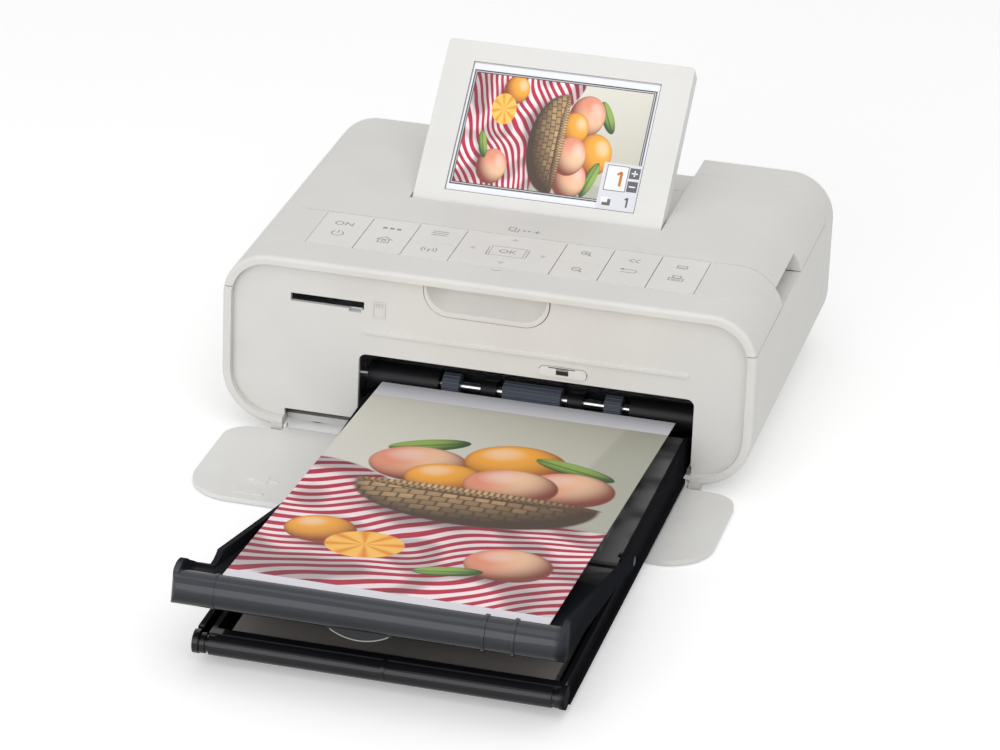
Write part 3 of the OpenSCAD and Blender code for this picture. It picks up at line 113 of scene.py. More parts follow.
# ---- Settings ----
class PrinterSizes(bpy.types.PropertyGroup):
    edge: bpy.props.FloatProperty(
        name="Edge softness", description="Width of the soft edges of the case parts",
        default=0.0003, min=0.0001, max=0.001, unit="LENGTH")
    key_edge: bpy.props.FloatProperty(
        name="Key edge softness", description="Width of the soft edges of the keys",
        default=0.00018, min=0.00005, max=0.0005, unit="LENGTH")
    line: bpy.props.FloatProperty(
        name="Line width", description="Width of the printed lines on the keys",
        default=0.00038, min=0.0001, max=0.001, unit="LENGTH")
    ink: bpy.props.FloatProperty(
        name="Ink thickness", description="Height of the printed marks above the surface",
        default=0.00002, min=0.00001, max=0.0001, unit="LENGTH")


class PrinterColours(bpy.types.PropertyGroup):
    case: bpy.props.FloatVectorProperty(
        name="Case", description="Warm white of the case", subtype="COLOR", size=3,
        default=(0.76, 0.752, 0.725), min=0, max=1)
    bezel: bpy.props.FloatVectorProperty(
        name="Screen housing", description="White of the screen's housing", subtype="COLOR", size=3,
        default=(0.80, 0.795, 0.775), min=0, max=1)
    keys: bpy.props.FloatVectorProperty(
        name="Keys", description="White of the keys", subtype="COLOR", size=3,
        default=(0.80, 0.79, 0.765), min=0, max=1)
    marks: bpy.props.FloatVectorProperty(
        name="Marks", description="Grey of the printed marks", subtype="COLOR", size=3,
        default=(0.30, 0.30, 0.29), min=0, max=1)
    tray: bpy.props.FloatVectorProperty(
        name="Cassette", description="Black of the paper cassette", subtype="COLOR", size=3,
        default=(0.013, 0.013, 0.016), min=0, max=1)
    lid: bpy.props.FloatVectorProperty(
        name="Output lid", description="Smoke grey of the output lid", subtype="COLOR", size=3,
        default=(0.017, 0.018, 0.022), min=0, max=1)
    roller: bpy.props.FloatVectorProperty(
        name="Rollers", description="Blue grey of the rubber rollers", subtype="COLOR", size=3,
        default=(0.085, 0.10, 0.13), min=0, max=1)


# ---- Node helpers ----
def put(tree, kind, inputs=None, **settings):
    """A node with its settings and its inputs, given as values or as sockets to link."""
    n = tree.nodes.new(kind)
    for k, v in settings.items():
        setattr(n, k, v)
    for k, v in (inputs or {}).items():
        if isinstance(v, bpy.types.NodeSocket):
            tree.links.new(v, n.inputs[k])
        else:
            n.inputs[k].default_value = v
    return n


def sums(tree, op, *values):
    """One step of arithmetic on numbers or sockets."""
    return put(tree, "ShaderNodeMath", dict(enumerate(values)), operation=op).outputs[0]


def blend(tree, amount, a, b, mode="MIX"):
    """Colour a turning into colour b by the amount."""
    n = put(tree, "ShaderNodeMix", data_type="RGBA", blend_type=mode)
    for socket, v in ((n.inputs[0], amount), (n.inputs[6], a), (n.inputs[7], b)):
        if isinstance(v, bpy.types.NodeSocket):
            tree.links.new(v, socket)
        else:
            socket.default_value = v if isinstance(v, float) else (*tuple(v)[:3], 1)
    return n.outputs[2]


def spread(tree, value, low, high, to_low=0.0, to_high=1.0, soft=True):
    """The value's place between low and high, carried over to another range."""
    return put(tree, "ShaderNodeMapRange",
               {"Value": value, "From Min": low, "From Max": high, "To Min": to_low, "To Max": to_high},
               interpolation_type="SMOOTHSTEP" if soft else "LINEAR").outputs[0]


def new_group(name, inputs, outputs):
    """An empty node group with its sockets: f for a number, v for a vector, c for a colour."""
    g = bpy.data.node_groups.new(name, "ShaderNodeTree")
    kinds = {"f": "NodeSocketFloat", "v": "NodeSocketVector", "c": "NodeSocketColor"}
    for n, k, d in inputs:
        s = g.interface.new_socket(name=n, in_out="INPUT", socket_type=kinds[k])
        if d is not None:
            s.default_value = d
    for n, k in outputs:
        g.interface.new_socket(name=n, in_out="OUTPUT", socket_type=kinds[k])
    return g, g.nodes.new("NodeGroupInput"), g.nodes.new("NodeGroupOutput")


def grain_group():
    """Fine grain of a moulded surface: height, and how rough it is from place to place."""
    g, i, o = new_group("moulded grain", [("Vector", "v", None), ("Size", "f", 3000.0), ("Depth", "f", 0.5)],
                        [("Height", "f"), ("Wear", "f")])
    fine = put(g, "ShaderNodeTexNoise", {"Vector": i.outputs[0], "Scale": i.outputs[1], "Detail": 2.0})
    broad = put(g, "ShaderNodeTexNoise", {"Vector": i.outputs[0], "Scale": 35.0, "Detail": 3.0})
    g.links.new(sums(g, "MULTIPLY", fine.outputs[0], i.outputs[2]), o.inputs[0])
    g.links.new(broad.outputs[0], o.inputs[1])
    return g


def ellipse_group():
    """A round thing in a picture: its mask and how the light falls on it."""
    names = [("X", 0.5), ("Y", 0.5), ("Wide", 0.1), ("Tall", 0.1), ("Turn", 0.0), ("Edge", 0.03)]
    g, i, o = new_group("round thing", [("Vector", "v", None)] + [(n, "f", d) for n, d in names],
                        [("Mask", "f"), ("Light", "f"), ("Along", "f"), ("Across", "f")])
    _, x, y, wide, tall, turn, edge = i.outputs[:7]
    at = put(g, "ShaderNodeSeparateXYZ", {0: i.outputs[0]})
    dx, dy = sums(g, "SUBTRACT", at.outputs[0], x), sums(g, "SUBTRACT", at.outputs[1], y)
    c, s = sums(g, "COSINE", turn), sums(g, "SINE", turn)
    p = sums(g, "DIVIDE", sums(g, "ADD", sums(g, "MULTIPLY", dx, c), sums(g, "MULTIPLY", dy, s)), wide)
    q = sums(g, "DIVIDE", sums(g, "SUBTRACT", sums(g, "MULTIPLY", dy, c), sums(g, "MULTIPLY", dx, s)), tall)
    d2 = sums(g, "ADD", sums(g, "MULTIPLY", p, p), sums(g, "MULTIPLY", q, q))
    d = sums(g, "SQRT", d2)
    rise = sums(g, "SQRT", sums(g, "MAXIMUM", sums(g, "SUBTRACT", 1.0, d2), 0.0))
    light = sums(g, "ADD", sums(g, "MULTIPLY", p, -0.35), sums(g, "MULTIPLY", q, 0.45))
    light = sums(g, "ADD", light, sums(g, "MULTIPLY", rise, 0.75))
    light = sums(g, "MULTIPLY", light, spread(g, rise, 0.0, 0.55, 0.45, 1.0))
    mask = spread(g, d, sums(g, "SUBTRACT", 1.0, edge), 1.0, 1.0, 0.0)
    for k, v in enumerate((mask, light, p, q)):
        g.links.new(v, o.inputs[k])
    return g


# Things in the picture, back to front: kind, x, y, wide, tall, turn. The picture is 1 wide.
STILL_LIFE = [
    ("shadow", 0.55, 0.66, 0.50, 0.13, 0.0), ("leaf", 0.30, 1.20, 0.14, 0.05, 0.5),
    ("peach", 0.31, 1.03, 0.165, 0.155, 0.0), ("orange", 0.60, 1.14, 0.17, 0.165, 0.0),
    ("leaf", 0.79, 1.16, 0.15, 0.048, -0.35), ("peach", 0.81, 0.99, 0.15, 0.145, 0.0),
    ("orange", 0.42, 0.94, 0.135, 0.13, 0.0), ("peach", 0.63, 0.95, 0.155, 0.145, 0.0),
    ("basket", 0.55, 0.83, 0.40, 0.25, 0.0), ("rim", 0.55, 0.852, 0.405, 0.034, 0.0),
    ("shadow", 0.24, 0.30, 0.20, 0.08, 0.0), ("orange", 0.17, 0.40, 0.115, 0.11, 0.0),
    ("slice", 0.33, 0.33, 0.125, 0.105, 0.25), ("shadow", 0.75, 0.24, 0.20, 0.08, 0.0),
    ("peach", 0.78, 0.33, 0.14, 0.13, 0.0), ("leaf", 0.62, 0.22, 0.11, 0.036, 0.3),
]
# Darkest and brightest colour of each kind
TINTS = {
    "shadow": ((0.07, 0.015, 0.02), (0.09, 0.02, 0.025)),
    "peach": ((0.20, 0.035, 0.02), (0.94, 0.60, 0.38)),
    "orange": ((0.26, 0.045, 0.004), (0.96, 0.42, 0.035)),
    "leaf": ((0.02, 0.07, 0.01), (0.27, 0.42, 0.08)),
    "basket": ((0.045, 0.02, 0.008), (0.62, 0.40, 0.19)),
    "rim": ((0.08, 0.035, 0.012), (0.66, 0.44, 0.22)),
    "slice": ((0.86, 0.27, 0.01), (1.0, 0.56, 0.10)),
}


def still_life_group():
    """A picture of fruit in a basket on a striped cloth, for the print and the screen."""
    g, i, o = new_group("fruit picture", [("Vector", "v", None)], [("Color", "c")])
    at = put(g, "ShaderNodeSeparateXYZ", {0: i.outputs[0]})
    u, v = at.outputs[0], at.outputs[1]
    broad = put(g, "ShaderNodeTexNoise", {"Vector": i.outputs[0], "Scale": 2.2, "Detail": 3.0}).outputs[0]
    folds = put(g, "ShaderNodeTexNoise", {"Vector": i.outputs[0], "Scale": 2.3, "Detail": 0.6}).outputs[0]
    # wall with light from the left and a darker board on the right
    wall = blend(g, spread(g, sums(g, "ADD", u, sums(g, "MULTIPLY", v, 0.35)), 0.2, 1.6),
                 (0.74, 0.72, 0.65), (0.49, 0.48, 0.40))
    wall = blend(g, sums(g, "MULTIPLY", broad, 0.3), wall, (0.60, 0.57, 0.49))
    board = sums(g, "SUBTRACT", sums(g, "SUBTRACT", u, sums(g, "MULTIPLY", v, 0.10)), 0.70)
    wall = blend(g, spread(g, board, -0.01, 0.02, 0.0, 0.45), wall, (0.33, 0.34, 0.28))
    # striped cloth that runs over the edge of the table
    sway = sums(g, "MULTIPLY", sums(g, "SINE", sums(g, "MULTIPLY", u, 5.0)), 0.03)
    along = sums(g, "ADD", v, sums(g, "ADD", sway, sums(g, "MULTIPLY", folds, 0.30)))
    along = sums(g, "SUBTRACT", along, sums(g, "MULTIPLY", u, 0.42))
    wave = sums(g, "SINE", sums(g, "MULTIPLY", along, 112.0))
    cloth = blend(g, spread(g, wave, -0.15, 0.2), (0.42, 0.005, 0.04), (0.86, 0.72, 0.74))
    crease = sums(g, "SINE", sums(g, "MULTIPLY", sums(g, "ADD", folds, sums(g, "MULTIPLY", u, 0.22)), 26.0))
    shade = sums(g, "MULTIPLY", spread(g, crease, -1.0, 0.6, 0.62, 1.08), spread(g, folds, 0.25, 0.6, 0.75, 1.1))
    cloth = blend(g, 1.0, cloth, put(g, "ShaderNodeCombineColor", {0: shade, 1: shade, 2: shade}).outputs[0],
                  "MULTIPLY")
    edge = sums(g, "ADD", spread(g, u, 0.0, 0.55, 0.98, 0.70), sums(g, "MULTIPLY", sway, 0.7))
    on_table = spread(g, sums(g, "SUBTRACT", v, edge), -0.006, 0.006, 1.0, 0.0, soft=False)
    colour = blend(g, on_table, wall, cloth)
    round_thing = bpy.data.node_groups["round thing"]
    for kind, x, y, wide, tall, turn in STILL_LIFE:
        n = put(g, "ShaderNodeGroup", node_tree=round_thing)
        for k, val in enumerate((x, y, wide, tall, turn), 1):
            n.inputs[k].default_value = val
        n.inputs[6].default_value = 0.9 if kind == "shadow" else 0.05
        g.links.new(i.outputs[0], n.inputs[0])
        mask, amount, p, q = n.outputs
        dark, bright = TINTS[kind]
        if kind in ("basket", "rim"):
            rows = (0.13, 0.16) if kind == "basket" else (0.05, 1.4)
            lean = sums(g, "ADD", q, sums(g, "MULTIPLY", sums(g, "MULTIPLY", p, p), 0.2))
            weave = put(g, "ShaderNodeTexBrick", {
                "Vector": put(g, "ShaderNodeCombineXYZ", {0: p, 1: lean}).outputs[0], "Scale": 1.0,
                "Color1": (1, 1, 1, 1), "Color2": (0.6, 0.6, 0.6, 1), "Mortar": (0.1, 0.1, 0.1, 1),
                "Mortar Size": 0.02, "Mortar Smooth": 1.0, "Brick Width": rows[0], "Row Height": rows[1]}).outputs[0]
            amount = sums(g, "MULTIPLY", amount, spread(g, weave, 0.0, 1.0, 0.15, 1.0, soft=False))
            if kind == "basket":
                mask = sums(g, "MULTIPLY", mask, spread(g, q, 0.06, 0.10, 1.0, 0.0))
        if kind == "slice":
            amount = sums(g, "ABSOLUTE", sums(g, "SINE", sums(g, "MULTIPLY", sums(g, "ARCTAN2", q, p), 4.0)))
        if kind == "leaf":
            amount = sums(g, "MULTIPLY", amount, spread(g, sums(g, "ABSOLUTE", q), 0.02, 0.2, 0.45, 1.0))
        fill = blend(g, spread(g, amount, 0.0, 0.95), dark, bright)
        if kind == "peach":
            blush = spread(g, sums(g, "ADD", p, broad), -0.15, 0.85, 0.75, 0.0)
            fill = blend(g, sums(g, "MULTIPLY", blush, amount), fill, (0.72, 0.10, 0.05))
        if kind in ("peach", "orange"):
            fill = blend(g, spread(g, n.outputs[1], 0.80, 1.0, 0.0, 0.5), fill, (1.0, 0.90, 0.80))
        colour = blend(g, sums(g, "MULTIPLY", mask, 0.7) if kind == "shadow" else mask, colour, fill)
    g.links.new(colour, o.inputs[0])
    return g


# ---- Materials ----
def material(name, colour, rough, grain=(3000.0, 0.5), bump=0.05, vary=0.04, **sockets):
    """Moulded plastic, rubber, paper or metal with fine grain and slight changes of tone and gloss."""
    m = bpy.data.materials.new(name)
    m.use_nodes = True
    t = m.node_tree
    shader = t.nodes["Principled BSDF"]
    place = put(t, "ShaderNodeTexCoord").outputs["Object"]
    g = put(t, "ShaderNodeGroup", node_tree=bpy.data.node_groups["moulded grain"])
    t.links.new(place, g.inputs[0])
    g.inputs[1].default_value, g.inputs[2].default_value = grain
    tone = spread(t, g.outputs[1], 0.3, 0.7)
    darker = tuple(c * (1 - vary) for c in colour)
    t.links.new(blend(t, tone, darker, colour), shader.inputs["Base Color"])
    t.links.new(spread(t, g.outputs[1], 0.25, 0.75, rough * 0.9, min(1, rough * 1.12)), shader.inputs["Roughness"])
    if bump:
        b = put(t, "ShaderNodeBump", {"Strength": bump, "Distance": 0.0002, "Height": g.outputs[0]})
        t.links.new(b.outputs[0], shader.inputs["Normal"])
    for k, v in sockets.items():
        shader.inputs[k.replace("_", " ")].default_value = v
    return m


def make_materials(c):
    """Every finish of the printer, by a short name, from the colours in the sidebar."""
    grain_group()
    ellipse_group()
    still_life_group()
    steel = {"Metallic": 1.0}
    smoke = material("smoke plastic with painted light", c.lid, 0.35, (900.0, 0.4), 0.02, 0.12, Specular_IOR_Level=0.0, Alpha=0.975)
    return {
        "case": material("warm white plastic", c.case, 0.45, bump=0.06, Specular_IOR_Level=0.25),
        "bezel": material("screen housing plastic", c.bezel, 0.4, bump=0.05, Specular_IOR_Level=0.35),
        "keys": material("key plastic", c.keys, 0.4, bump=0.04, Specular_IOR_Level=0.25),
        "marks": material("printed grey", c.marks, 0.5, bump=0.0),
        "faint": material("printed pale grey", [0.5 * v + 0.40 for v in c.marks], 0.5, bump=0.0),
        "tray": polished(material("gloss black plastic", c.tray, 0.4, (900.0, 0.3), 0.015, 0.2,
                                  Specular_IOR_Level=0.0), -162.0, -158.0),
        # Painted light on the lid: the top of its bar is painted paler, and a cloudy margin beside the paper is
        # painted grey.
        "lid": painted_light_margin(painted_top_light(polished(smoke, -172.0, -168.0), [2.4 * v for v in c.lid]),
                            (0.155, 0.155, 0.157)),
        "roller": material("ribbed rubber", c.roller, 0.6, (2500.0, 1.0), 0.2, 0.15),
        "foot": material("foot rubber", (0.03, 0.03, 0.032), 0.75, (2500.0, 1.0), 0.2, 0.15),
        "black": material("matte black plastic", (0.008, 0.008, 0.010), 0.42, (2500.0, 0.6), 0.08, 0.2,
                          Specular_IOR_Level=0.25),
        # Painted shade: this dark brown stands for the latch steel in the shade of the catch's window, and it draws
        # the thin dark lines too.
        "umber": material("latch steel in shade", (0.012, 0.007, 0.003), 0.4, (2500.0, 0.6), 0.08, 0.3),
        "steel": material("drawn steel", (0.62, 0.63, 0.65), 0.28, (1500.0, 0.5), 0.03, 0.08, **steel),
        "sink": material("extruded aluminium", (0.60, 0.61, 0.63), 0.4, (1500.0, 0.5), 0.05, 0.08, **steel),
        "brass": material("machined brass", (0.70, 0.48, 0.18), 0.3, (1500.0, 0.5), 0.04, 0.1, **steel),
        "acetal": material("natural acetal", (0.72, 0.69, 0.58), 0.45, (2500.0, 0.5), 0.05, 0.05),
        "board": material("solder mask", (0.015, 0.10, 0.045), 0.3, (1200.0, 0.8), 0.08, 0.3),
        # Painted shade: the blank paper in the cassette is given a dark warm grey, for the shade under the lid, not
        # the white of the paper.
        "paper": material("blank photo paper in painted shade", (0.36, 0.33, 0.31), 0.5, (4000.0, 1.0), 0.1, 0.04),
        "ribbon": material("dye film", (0.20, 0.06, 0.16), 0.2, (900.0, 0.3), 0.02, 0.2),
        "grey": material("cartridge plastic", (0.07, 0.075, 0.085), 0.35, (2500.0, 0.6), 0.08, 0.12),
        "glass": material("display glass", (0.02, 0.02, 0.022), 0.08, (900.0, 0.2), 0.0, 0.1),
    }


def polished(m, start, end):
    """Polished in front of a line across the piece, and matte behind it and at its right end."""
    t = m.node_tree
    shader = t.nodes["Principled BSDF"]
    at = put(t, "ShaderNodeSeparateXYZ", {0: put(t, "ShaderNodeTexCoord").outputs["Object"]})
    front = spread(t, at.outputs[1], (FRONT_Y + start) * MM, (FRONT_Y + end) * MM, 1.0, MATTE)
    inner = spread(t, at.outputs[0], 66.5 * MM, 68.9 * MM, 1.0, MATTE)
    t.links.new(sums(t, "MULTIPLY", front, inner), shader.inputs["Coat Weight"])
    shader.inputs["Coat Roughness"].default_value = 0.07
    shader.inputs["Coat IOR"].default_value = 1.36
    return m


def seen_rays(t):
    """One for rays that show the background, to the camera or in a gloss or a glass, and zero for its light."""
    path = put(t, "ShaderNodeLightPath").outputs
    return sums(t, "MAXIMUM", sums(t, "MAXIMUM", path["Is Camera Ray"], path["Is Glossy Ray"]),
                path["Is Transmission Ray"])


def painted_top_light(m, colour):
    """Painted light: the top of the lid's bar, which is hollow, is painted paler than its walls, for the light that
    comes through it.
    """
    t = m.node_tree
    socket = t.nodes["Principled BSDF"].inputs["Base Color"]
    at = put(t, "ShaderNodeSeparateXYZ", {0: put(t, "ShaderNodeTexCoord").outputs["Object"]})
    y, z = at.outputs[1], at.outputs[2]
    front = spread(t, y, (FRONT_Y - 171.5) * MM, (FRONT_Y - 168.5) * MM, 1.0, 0.15)
    high = spread(t, z, 27.0 * MM, 31.5 * MM)
    t.links.new(blend(t, sums(t, "MULTIPLY", front, high), socket.links[0].from_socket, colour), socket)
    return m


def painted_light_margin(m, colour):
    """Painted light: beside the paper the lid's thin floor is painted a cloudy grey, for the light that it lets
    through.
    """
    t = m.node_tree
    socket = t.nodes["Principled BSDF"].inputs["Base Color"]
    place = put(t, "ShaderNodeTexCoord").outputs["Object"]
    at = put(t, "ShaderNodeSeparateXYZ", {0: place})
    cloud = put(t, "ShaderNodeTexNoise", {"Vector": place, "Scale": 70.0, "Detail": 1.0}).outputs[0]
    amount = spread(t, cloud, 0.35, 0.6, 0.3, 1.0)
    for value, low, high in ((at.outputs[1], FRONT_Y - 114.0, FRONT_Y - 98.0), (at.outputs[0], 50.5, 53.0)):
        amount = sums(t, "MULTIPLY", amount, spread(t, value, low * MM, high * MM))
    amount = sums(t, "MULTIPLY", amount, spread(t, at.outputs[0], 66.0 * MM, 66.8 * MM, 1.0, 0.0))
    t.links.new(blend(t, amount, socket.links[0].from_socket, colour), socket)
    return m


def picture_material(name, rough, build):
    """A finish whose colour build() makes from the piece's own u and v."""
    m = bpy.data.materials.new(name)
    m.use_nodes = True
    t = m.node_tree
    shader = t.nodes["Principled BSDF"]
    shader.inputs["Roughness"].default_value = rough
    uv = put(t, "ShaderNodeSeparateXYZ", {0: put(t, "ShaderNodeUVMap", uv_map="UVMap").outputs[0]})
    build(t, shader, uv.outputs[0], uv.outputs[1])
    return m


def fruit(t, x, y):
    """The picture's colour at x, y."""
    n = put(t, "ShaderNodeGroup", node_tree=bpy.data.node_groups["fruit picture"])
    t.links.new(put(t, "ShaderNodeCombineXYZ", {0: x, 1: y}).outputs[0], n.inputs[0])
    return n.outputs[0]


def inside(t, v, low, high, edge):
    """One between low and high, and zero beyond them."""
    return sums(t, "MULTIPLY", spread(t, v, low - edge, low + edge, soft=False),
                spread(t, v, high - edge, high + edge, 1.0, 0.0, soft=False))


def print_look(t, shader, u, v):
    """The picture between two blank strips, which rows of small cuts mark off."""
    along = sums(t, "MULTIPLY", v, SHEET_L)
    picture = fruit(t, u, sums(t, "DIVIDE", sums(t, "SUBTRACT", along, STRIP_FRONT), SHEET_W))
    mask = inside(t, along, STRIP_FRONT, SHEET_L - STRIP_BACK, 0.12)
    colour = blend(t, mask, (0.76, 0.75, 0.80), picture)
    near = sums(t, "MINIMUM", sums(t, "ABSOLUTE", sums(t, "SUBTRACT", along, STRIP_FRONT)),
                sums(t, "ABSOLUTE", sums(t, "SUBTRACT", along, SHEET_L - STRIP_BACK)))
    dots = sums(t, "GREATER_THAN", sums(t, "SINE", sums(t, "MULTIPLY", u, SHEET_W * 2 * math.pi / 1.2)), 0.2)
    cut = sums(t, "MULTIPLY", spread(t, near, 0.05, 0.2, 1.0, 0.0), dots)
    colour = blend(t, sums(t, "MULTIPLY", cut, 0.35), colour, (0.35, 0.35, 0.38))
    t.links.new(colour, shader.inputs["Base Color"])
    shader.inputs["Specular IOR Level"].default_value = 0.2


def screen_look(t, shader, u, v):
    """The picture lies on its side in a thin double frame on a pale grey page."""
    picture = fruit(t, sums(t, "SUBTRACT", 1.0, v), sums(t, "MULTIPLY", u, PICTURE_TALL))
    frame_out = sums(t, "MULTIPLY", inside(t, u, 0.010, 0.990, 0.002), inside(t, v, 0.050, 0.950, 0.002))
    gap = sums(t, "MULTIPLY", inside(t, u, 0.017, 0.983, 0.002), inside(t, v, 0.060, 0.940, 0.002))
    frame_in = sums(t, "MULTIPLY", inside(t, u, 0.021, 0.979, 0.002), inside(t, v, 0.066, 0.934, 0.002))
    room = sums(t, "MULTIPLY", inside(t, u, 0.026, 0.974, 0.002), inside(t, v, 0.073, 0.927, 0.002))
    page, dark = (0.80, 0.81, 0.86), (0.02, 0.02, 0.022)
    colour = blend(t, frame_out, page, dark)
    colour = blend(t, gap, colour, (0.66, 0.66, 0.69))
    colour = blend(t, frame_in, colour, dark)
    colour = blend(t, room, colour, picture)
    t.links.new(colour, shader.inputs["Base Color"])
    t.links.new(colour, shader.inputs["Emission Color"])
    shader.inputs["Emission Strength"].default_value = 0.12


# ---- Modelling helpers ----
def deselect():
    """Leaves nothing selected, so that the next step works on its own piece."""
    bpy.ops.object.select_all(action="DESELECT")


def active(name):
    """Names the active piece and its mesh."""
    o = bpy.context.active_object
    o.name = name
    o.data.name = name
    return o


def in_edit(*steps):
    """Runs edit-mode steps on the whole of the active mesh."""
    bpy.ops.object.mode_set(mode="EDIT")
    bpy.ops.mesh.select_all(action="SELECT")
    for step, settings in steps:
        getattr(bpy.ops.mesh, step)(**settings)
    bpy.ops.object.mode_set(mode="OBJECT")


def lift(height):
    """An edit-mode step that makes a flat outline a plate."""
    return ("extrude_region_move", {"TRANSFORM_OT_translate": {"value": (0, 0, height)}})


FACE_OUT = ("normals_make_consistent", {"inside": False})


def settle(o):
    """Puts the piece's place, turn and size into its mesh."""
    deselect()
    o.select_set(True)
    bpy.context.view_layer.objects.active = o
    bpy.ops.object.transform_apply(location=True, rotation=True, scale=True)
    return o


def join(name, parts):
    """Makes one named piece of several."""
    deselect()
    for p in parts:
        p.select_set(True)
    bpy.context.view_layer.objects.active = parts[0]
    if len(parts) > 1:
        bpy.ops.object.join()
    return settle(active(name))


def finish_piece(o, mat, body, slot, *stands_for):
    """Gives a piece its finish, its body and the nodes that it stands for; its slot is not used."""
    o.data.materials.clear()
    o.data.materials.append(mat)
    if body:
        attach(o, body)
    if stands_for:
        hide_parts(*stands_for)
    return o


def bar(x, y, w, d, height, turn=0.0):
    """A flat bar in millimetres, its middle at x, y."""
    deselect()
    bpy.ops.mesh.primitive_plane_add(size=1)
    o = bpy.context.active_object
    o.scale = (w * MM, d * MM, 1)
    o.rotation_euler.z = math.radians(turn)
    o.location = (x * MM, y * MM, 0)
    settle(o)
    in_edit(lift(height), FACE_OUT)
    return o


def disc(x, y, r, height, sides=24, turn=0.0, squash=1.0):
    """A flat disc, or with 3 sides a triangle."""
    deselect()
    bpy.ops.mesh.primitive_circle_add(vertices=sides, radius=r * MM, fill_type="NGON")
    o = bpy.context.active_object
    o.scale.y = squash
    o.rotation_euler.z = math.radians(turn)
    o.location = (x * MM, y * MM, 0)
    settle(o)
    in_edit(lift(height), FACE_OUT)
    return o


def arc(x, y, r, line, height, start, end, steps=20):
    """Part of a ring: a short line spun round x, y from one angle to another."""
    deselect()
    bpy.ops.mesh.primitive_plane_add(size=1)
    o = bpy.context.active_object
    o.scale = (line * MM, line * MM * 0.02, 1)
    o.location = (r * MM, 0, 0)
    settle(o)
    full = end - start >= 360
    in_edit(("delete", {"type": "ONLY_FACE"}))
    bpy.ops.object.mode_set(mode="EDIT")
    bpy.ops.mesh.select_mode(type="EDGE")
    bpy.ops.mesh.select_all(action="DESELECT")
    bpy.ops.object.mode_set(mode="OBJECT")
    for e in o.data.edges:
        a, b = (o.data.vertices[k].co for k in e.vertices)
        e.select = a.y > 0 and b.y > 0
    bpy.ops.object.mode_set(mode="EDIT")
    bpy.ops.mesh.select_all(action="INVERT")
    bpy.ops.mesh.delete(type="EDGE")
    bpy.ops.mesh.select_all(action="SELECT")
    bpy.ops.mesh.spin(steps=steps, angle=-math.radians(end - start), center=(0, 0, 0), axis=(0, 0, 1))
    bpy.ops.mesh.select_all(action="SELECT")
    bpy.ops.mesh.remove_doubles(threshold=1e-6 if full else 1e-8)
    bpy.ops.mesh.extrude_region_move(TRANSFORM_OT_translate={"value": (0, 0, height)})
    bpy.ops.mesh.select_all(action="SELECT")
    bpy.ops.mesh.normals_make_consistent(inside=False)
    bpy.ops.object.mode_set(mode="OBJECT")
    o.rotation_euler.z = math.radians(start)
    o.location = (x * MM, y * MM, 0)
    return settle(o)


def word(text, x, y, size, height):
    """Plain capitals or figures, made a mesh, their middle at x, y."""
    deselect()
    bpy.ops.object.text_add()
    o = bpy.context.active_object
    o.data.body = text
    o.data.size = size * MM
    o.data.extrude = height / 2
    o.data.align_x = "CENTER"
    o.data.align_y = "CENTER"
    o.location = (x * MM, y * MM, height / 2)
    bpy.ops.object.convert(target="MESH")
    return settle(bpy.context.active_object)


def outline(x, y, w, d, line, height):
    """A rectangle drawn with a thin line."""
    return [bar(x, y + s * (d - line) / 2, w, line, height) for s in (-1, 1)] + [
        bar(x + s * (w - line) / 2, y, line, d - 2 * line, height) for s in (-1, 1)]


def laid(name, parts, move, mat, body, slot):
    """Joins flat marks and lays them in their place."""
    o = join(name, parts)
    o.data.transform(move)
    return finish_piece(o, mat, body, slot)


def on_top(node, dx=0.0, dy=0.0):
    """Moves marks from the origin to the middle of a node's top."""
    low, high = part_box(node)
    return Matrix.Translation(((low.x + high.x) / 2 + dx * MM, (low.y + high.y) / 2 + dy * MM, high.z))


def on_screen(lift_mm=0.0):
    """Turns marks drawn on the shut screen's face up to where the screen stands."""
    hinge = Vector((0, HINGE_Y * MM, HINGE_Z * MM))
    up = Matrix.Rotation(math.radians(TILT), 4, "X")
    return Matrix.Translation(hinge) @ up @ Matrix.Translation(-hinge) @ Matrix.Translation((0, 0, lift_mm * MM))


def soft_copy(node, width, mat, slot, angle=32.0, segments=2):
    """A merged copy of a node whose edges are slightly rounded, as moulded edges are."""
    source = NODES[node]
    o = source.copy()
    o.data = source.data.copy()
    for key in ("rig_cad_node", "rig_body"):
        if key in o:
            del o[key]
    bpy.context.scene.collection.objects.link(o)
    o.parent = None
    o.matrix_world = Matrix.Identity(4)
    deselect()
    o.select_set(True)
    bpy.context.view_layer.objects.active = o
    active(node + "_shell")
    bpy.ops.mesh.customdata_custom_splitnormals_clear()
    in_edit(("remove_doubles", {"threshold": 2e-6}),
            ("dissolve_limited", {"angle_limit": math.radians(0.6)}))
    b = o.modifiers.new("edges", "BEVEL")
    b.width, b.segments, b.limit_method, b.angle_limit = width, segments, "ANGLE", math.radians(angle)
    b.use_clamp_overlap, b.harden_normals = True, False
    bpy.ops.object.modifier_apply(modifier=b.name)
    bpy.ops.object.shade_smooth_by_angle(angle=math.radians(50))
    w = o.modifiers.new("normals", "WEIGHTED_NORMAL")
    w.keep_sharp, w.weight = True, 80
    bpy.ops.object.modifier_apply(modifier=w.name)
    return finish_piece(o, mat, BODY_OF[node], slot, node)


MATERIALS = {}


# ---- Operators ----
class PRINTER_OT_materials(bpy.types.Operator):
    """Makes every finish and gives it to the construction's nodes"""
    bl_idname = "printer.materials"
    bl_label = "Finishes"

    def execute(self, context):
        MATERIALS.update(make_materials(context.scene.printer_colours))
        finish = {
            "case_white": "case", "key_white": "keys", "board_green": "board", "display": "glass",
            "steel": "steel", "tray_black": "tray", "smoke": "lid", "paper": "paper", "print_gloss": "paper",
            "roller_rubber": "roller", "gear_acetal": "acetal", "pinion_brass": "brass",
            "black_plastic": "black", "heat_sink": "sink", "cartridge_grey": "grey", "ribbon": "ribbon",
            "foot_rubber": "foot",
        }
        for s in frame["record"]["subparts"]:
            o = NODES[s["node"]]
            for k in o.material_slots:
                k.material = MATERIALS["black" if s["node"] == "lid_pins" else finish[s["material_slot"]]]
        return {"FINISHED"}


